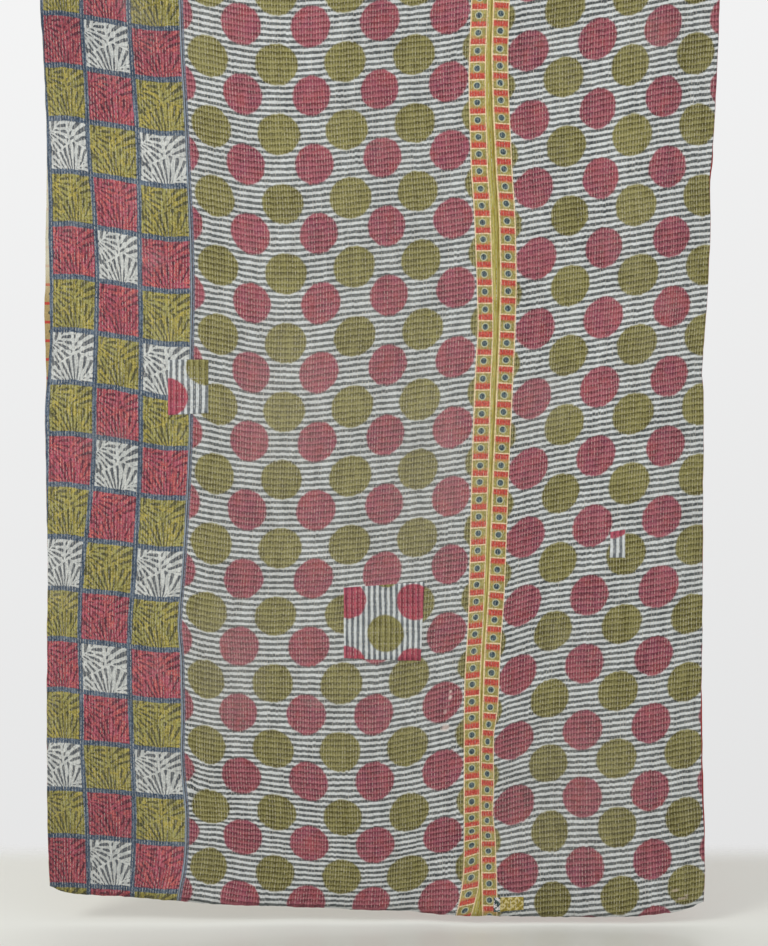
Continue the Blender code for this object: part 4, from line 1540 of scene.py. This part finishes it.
# Rows that run across a patch: x from, z, x to.
CROSS_ROWS = {"patch_large": ((-0.070, -1.5475, 0.064), (-0.074, -1.5730, 0.060)),
              "patch_seam": ((-0.416, -1.0010, -0.384),
                             (-0.445, -1.0610, -0.400))}
for name, (corners, (dx, dz, crimson, k1, k2, sinks)) in PATCHES.items():
    g, y, back, nc, nr = patch_sheet(name, corners)
    piece = closed_sheet(name + "_cloth", g, y, back, 6, 4, stacks=1)
    if name == "patch_hem":
        write_map(piece, "Cloth", lambda x, z: (x, -z))
        piece.data.materials.append(HEM_SCRAP.mat)
    else:
        half = 0.0 if crimson else REPEAT / 2

        def turned(x, z, dx=dx, dz=dz, k1=k1, k2=k2, half=half, sinks=sinks):
            return (0.0765 + half + (dz - z) * k1 - (x - dx) * sinks,
                    ROW0 + half + (x - dx) * k2)
        write_map(piece, "Cloth", turned)
        piece.data.materials.append(
            (PATCH_CLOTH if name == "patch_large" else PATCH_CLOTH_TWO).mat)
    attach(piece, "root")
    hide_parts(name)
    # Small hemming stitches round the edge, and the rows that cross it.
    rng = np.random.default_rng(200 + nc)
    ring_a, ring_b = [], []
    c = np.array(corners, float)
    middle = c.mean(0)
    for k in range(4):
        p, q = c[k], c[(k + 1) % 4]
        run = np.linalg.norm(q - p)
        n = max(3, int(run / 0.0075))
        for m in range(n):
            w0 = (m + 0.25 + rng.uniform(-0.1, 0.1)) / n
            at = p * (1 - w0) + q * w0
            inward = (middle - at)
            normal = np.array([-(q - p)[1], (q - p)[0]]) / run
            if normal @ inward < 0:
                normal = -normal
            ring_a.append(at - normal * 0.0006)
            ring_b.append(at + normal * 0.0019
                          + (q - p) / run * rng.uniform(0.0004, 0.0012))
    ring_a, ring_b = np.array(ring_a), np.array(ring_b)
    start = np.stack([ring_a[:, 0], -(surface(ring_a[:, 0], ring_a[:, 1])
                                      + 0.0017), ring_a[:, 1]], 1)
    end = np.stack([ring_b[:, 0], -(surface(ring_b[:, 0], ring_b[:, 1])
                                    + 0.0030), ring_b[:, 1]], 1)
    starts, ends = [start], [end]
    lo, hi = c.min(0), c.max(0)
    for row in np.arange(math.ceil(lo[0] / ROW_GAP), hi[0] / ROW_GAP):
        xr = row * ROW_GAP
        zs = np.arange(hi[1] - rng.uniform(0.001, 0.006), lo[1], -STITCH)
        for z0 in zs:
            z1 = z0 - STITCH * STITCH_SHARE
            inside = True
            for k in range(4):
                p, q = c[k], c[(k + 1) % 4]
                for zz in (z0, z1):
                    cross = ((q - p)[0] * (zz - p[1])
                             - (q - p)[1] * (xr - p[0]))
                    if cross / np.linalg.norm(q - p) > -0.0035:
                        inside = False
            if inside:
                starts.append(np.array([[xr, -(float(surface(xr, z0))
                                               + 0.00290), z0]]))
                ends.append(np.array([[xr, -(float(surface(xr, z1))
                                             + 0.00290), z1]]))
    for x0, z0, x1 in CROSS_ROWS.get(name, ()):
        at = np.arange(x0, x1, STITCH)
        starts.append(np.stack([at, -(surface(at, z0) + 0.0030),
                                np.full(at.shape, z0)], 1))
        at = at + STITCH * 0.88
        ends.append(np.stack([at, -(surface(at, z0) + 0.0030),
                              np.full(at.shape, z0)], 1))
    count = len(starts[0])
    starts, ends = np.vstack(starts), np.vstack(ends)
    hem = stitch_mesh(name + "_hem_stitches", starts[:count], ends[:count],
                      0.00042, 0.00040)
    hem.data.materials.append(LIGHT_THREAD.mat)
    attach(hem, "root")
    sewn = stitch_mesh(name + "_stitches", starts[count:], ends[count:],
                       0.00060, 0.00050)
    if name == "patch_hem":
        sewn.data.materials.append(LIGHT_THREAD.mat)
    else:
        write_map(sewn, "Cloth", turned)
        sewn.data.materials.append(PATCH_THREAD.mat)
    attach(sewn, "root")

# The backing: two old lengths joined, dense on the side that shows.
JOIN_SHARE = 0.47


def back_left(v):
    return left_edge(v) - np.maximum(LEAST_SHOW,
                                     along(BACKING_SHOWS_LEFT, v))


def back_right(v):
    return right_edge(v) + np.maximum(LEAST_SHOW,
                                      along(BACKING_SHOWS_RIGHT, v))


def back_join(v):
    return 0.028 + 0.006 * np.sin(v * 5.0)


BACKS = {
    "backing_ochre": (back_left, lambda v: back_join(v) - 0.0002, 127,
                      (0.765, 2.160),
                      backing_cloth("backing_ochre_cloth",
                                    linear(188, 166, 114),
                                    linear(146, 126, 82), ochre_print)),
    "backing_red": (lambda v: back_join(v) + 0.0002, back_right, 113,
                    (0.690, 2.175),
                    backing_cloth("backing_red_cloth",
                                  linear(188, 62, 52), linear(140, 40, 38),
                                  red_print)),
}
for number, (name, (left, right, ribs, flat, k)) in enumerate(BACKS.items()):
    g = Grid(left, right, ribs, 3, 140 + 10 * number, wander=0.15, rows=120)
    fall = edge_fall(g)
    deep = (0.0013 + 0.7 * g.rib) * fall + 0.0002
    piece = closed_sheet(name, g, -(g.f - deep), -g.f, 6, 1, flip=True,
                         stacks=2)

    def in_rows(x, z, left=left, right=right, ribs=ribs):
        v = share_down(x, z)
        a, b = left(v), right(v)
        return (x - a) / (b - a) * ribs * ROW_GAP, -z
    write_map(piece, "Cloth", in_rows)
    piece.data.materials.append(k.mat)
    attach(piece, "root")
    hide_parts("backing")


# --------------------------------------------------------- floor and lights
def make_floor():
    me = bpy.data.meshes.new("floor")
    size, z = 14.0, -LENGTH - 0.014
    me.from_pydata([(-size, -size, z), (size, -size, z), (size, size, z),
                    (-size, size, z)], [], [(0, 1, 2, 3)])
    obj = bpy.data.objects.new("floor", me)
    bpy.context.scene.collection.objects.link(obj)
    mat = bpy.data.materials.new("floor_pale")
    mat.use_nodes = True
    nt = mat.node_tree
    nt.nodes.clear()
    k = Cloth.__new__(Cloth)
    k.mat, k.tree = mat, nt
    out = nt.nodes.new("ShaderNodeOutputMaterial")
    bsdf = nt.nodes.new("ShaderNodeBsdfPrincipled")
    bsdf.inputs["Base Color"].default_value = linear(214, 214, 206)
    bsdf.inputs["Roughness"].default_value = 0.28
    bsdf.inputs["Specular IOR Level"].default_value = 0.35
    clear = nt.nodes.new("ShaderNodeBsdfTransparent")
    mixer = nt.nodes.new("ShaderNodeMixShader")
    pos = nt.nodes.new("ShaderNodeTexCoord")
    x, yy, _ = k.split(pos.outputs["Object"])
    behind = k.ramp(yy, 0.42, 0.62)
    far = k.ramp(k.m("SQRT", k.add(k.m("POWER", x, 2.0),
                                   k.m("POWER", yy, 2.0))), 4.0, 7.0)
    nt.links.new(k.m("MAXIMUM", behind, far), mixer.inputs[0])
    nt.links.new(bsdf.outputs[0], mixer.inputs[1])
    nt.links.new(clear.outputs[0], mixer.inputs[2])
    nt.links.new(mixer.outputs[0], out.inputs[0])
    me.materials.append(mat)


def make_light(name, place, aim, size, power, colour=(1, 1, 1)):
    data = bpy.data.lights.new(name, "AREA")
    data.shape = "RECTANGLE"
    data.size, data.size_y = size
    data.energy = power
    data.color = colour
    obj = bpy.data.objects.new(name, data)
    bpy.context.scene.collection.objects.link(obj)
    obj.location = place
    obj.visible_camera = False
    obj.rotation_euler = (Vector(aim) - Vector(place)).to_track_quat(
        "-Z", "Y").to_euler()
    return obj


make_floor()
world = bpy.data.worlds.new("studio")
bpy.context.scene.world = world
world.use_nodes = True
nt = world.node_tree
nt.nodes.clear()
w_out = nt.nodes.new("ShaderNodeOutputWorld")
w_bg = nt.nodes.new("ShaderNodeBackground")
# A white studio: evenly bright behind the object, dimmer in front of it, so
# that the lamps model the folds.
k = Cloth.__new__(Cloth)
k.tree = nt
way = nt.nodes.new("ShaderNodeTexCoord")
wx, wy, wz = k.split(way.outputs["Generated"])
bright = k.add(0.845, k.mul(k.m("MAXIMUM", k.m("MINIMUM", wz, 0.35), -0.35),
                            0.23), k.mul(wx, -0.04))
front = k.mul(k.ramp(wy, -0.05, -0.55), k.ramp(wz, -0.34, -0.16))
bright = k.mul(bright, k.sub(1.0, k.mul(front, 0.42)))
under = k.mul(k.ramp(wz, -0.295, -0.36), k.ramp(wy, 0.02, -0.15))
bright = k.mul(bright, k.sub(1.0, k.mul(under, 0.20)))
w_bg.inputs["Color"].default_value = (0.998, 1.0, 1.001, 1.0)
nt.links.new(bright, w_bg.inputs["Strength"])
nt.links.new(w_bg.outputs[0], w_out.inputs[0])
make_light("key", (-3.0, -2.7, 1.5), (-0.1, 0.0, -1.1), (1.6, 1.6), 95.0)
make_light("fill", (2.9, -3.2, -0.5), (0.25, 0.0, -1.35), (2.4, 2.4), 24.0)

camera_data = bpy.data.cameras.new("camera")
camera_data.lens = 60.89
camera_data.sensor_width = 36.0
camera = bpy.data.objects.new("camera", camera_data)
bpy.context.scene.collection.objects.link(camera)
camera.location = (0.0, -3.44, -1.0238)
camera.rotation_euler = (math.radians(87.0), 0.0, 0.0)
bpy.context.scene.camera = camera
bpy.context.scene.view_settings.view_transform = "Standard"
bpy.context.scene.view_settings.look = "None"
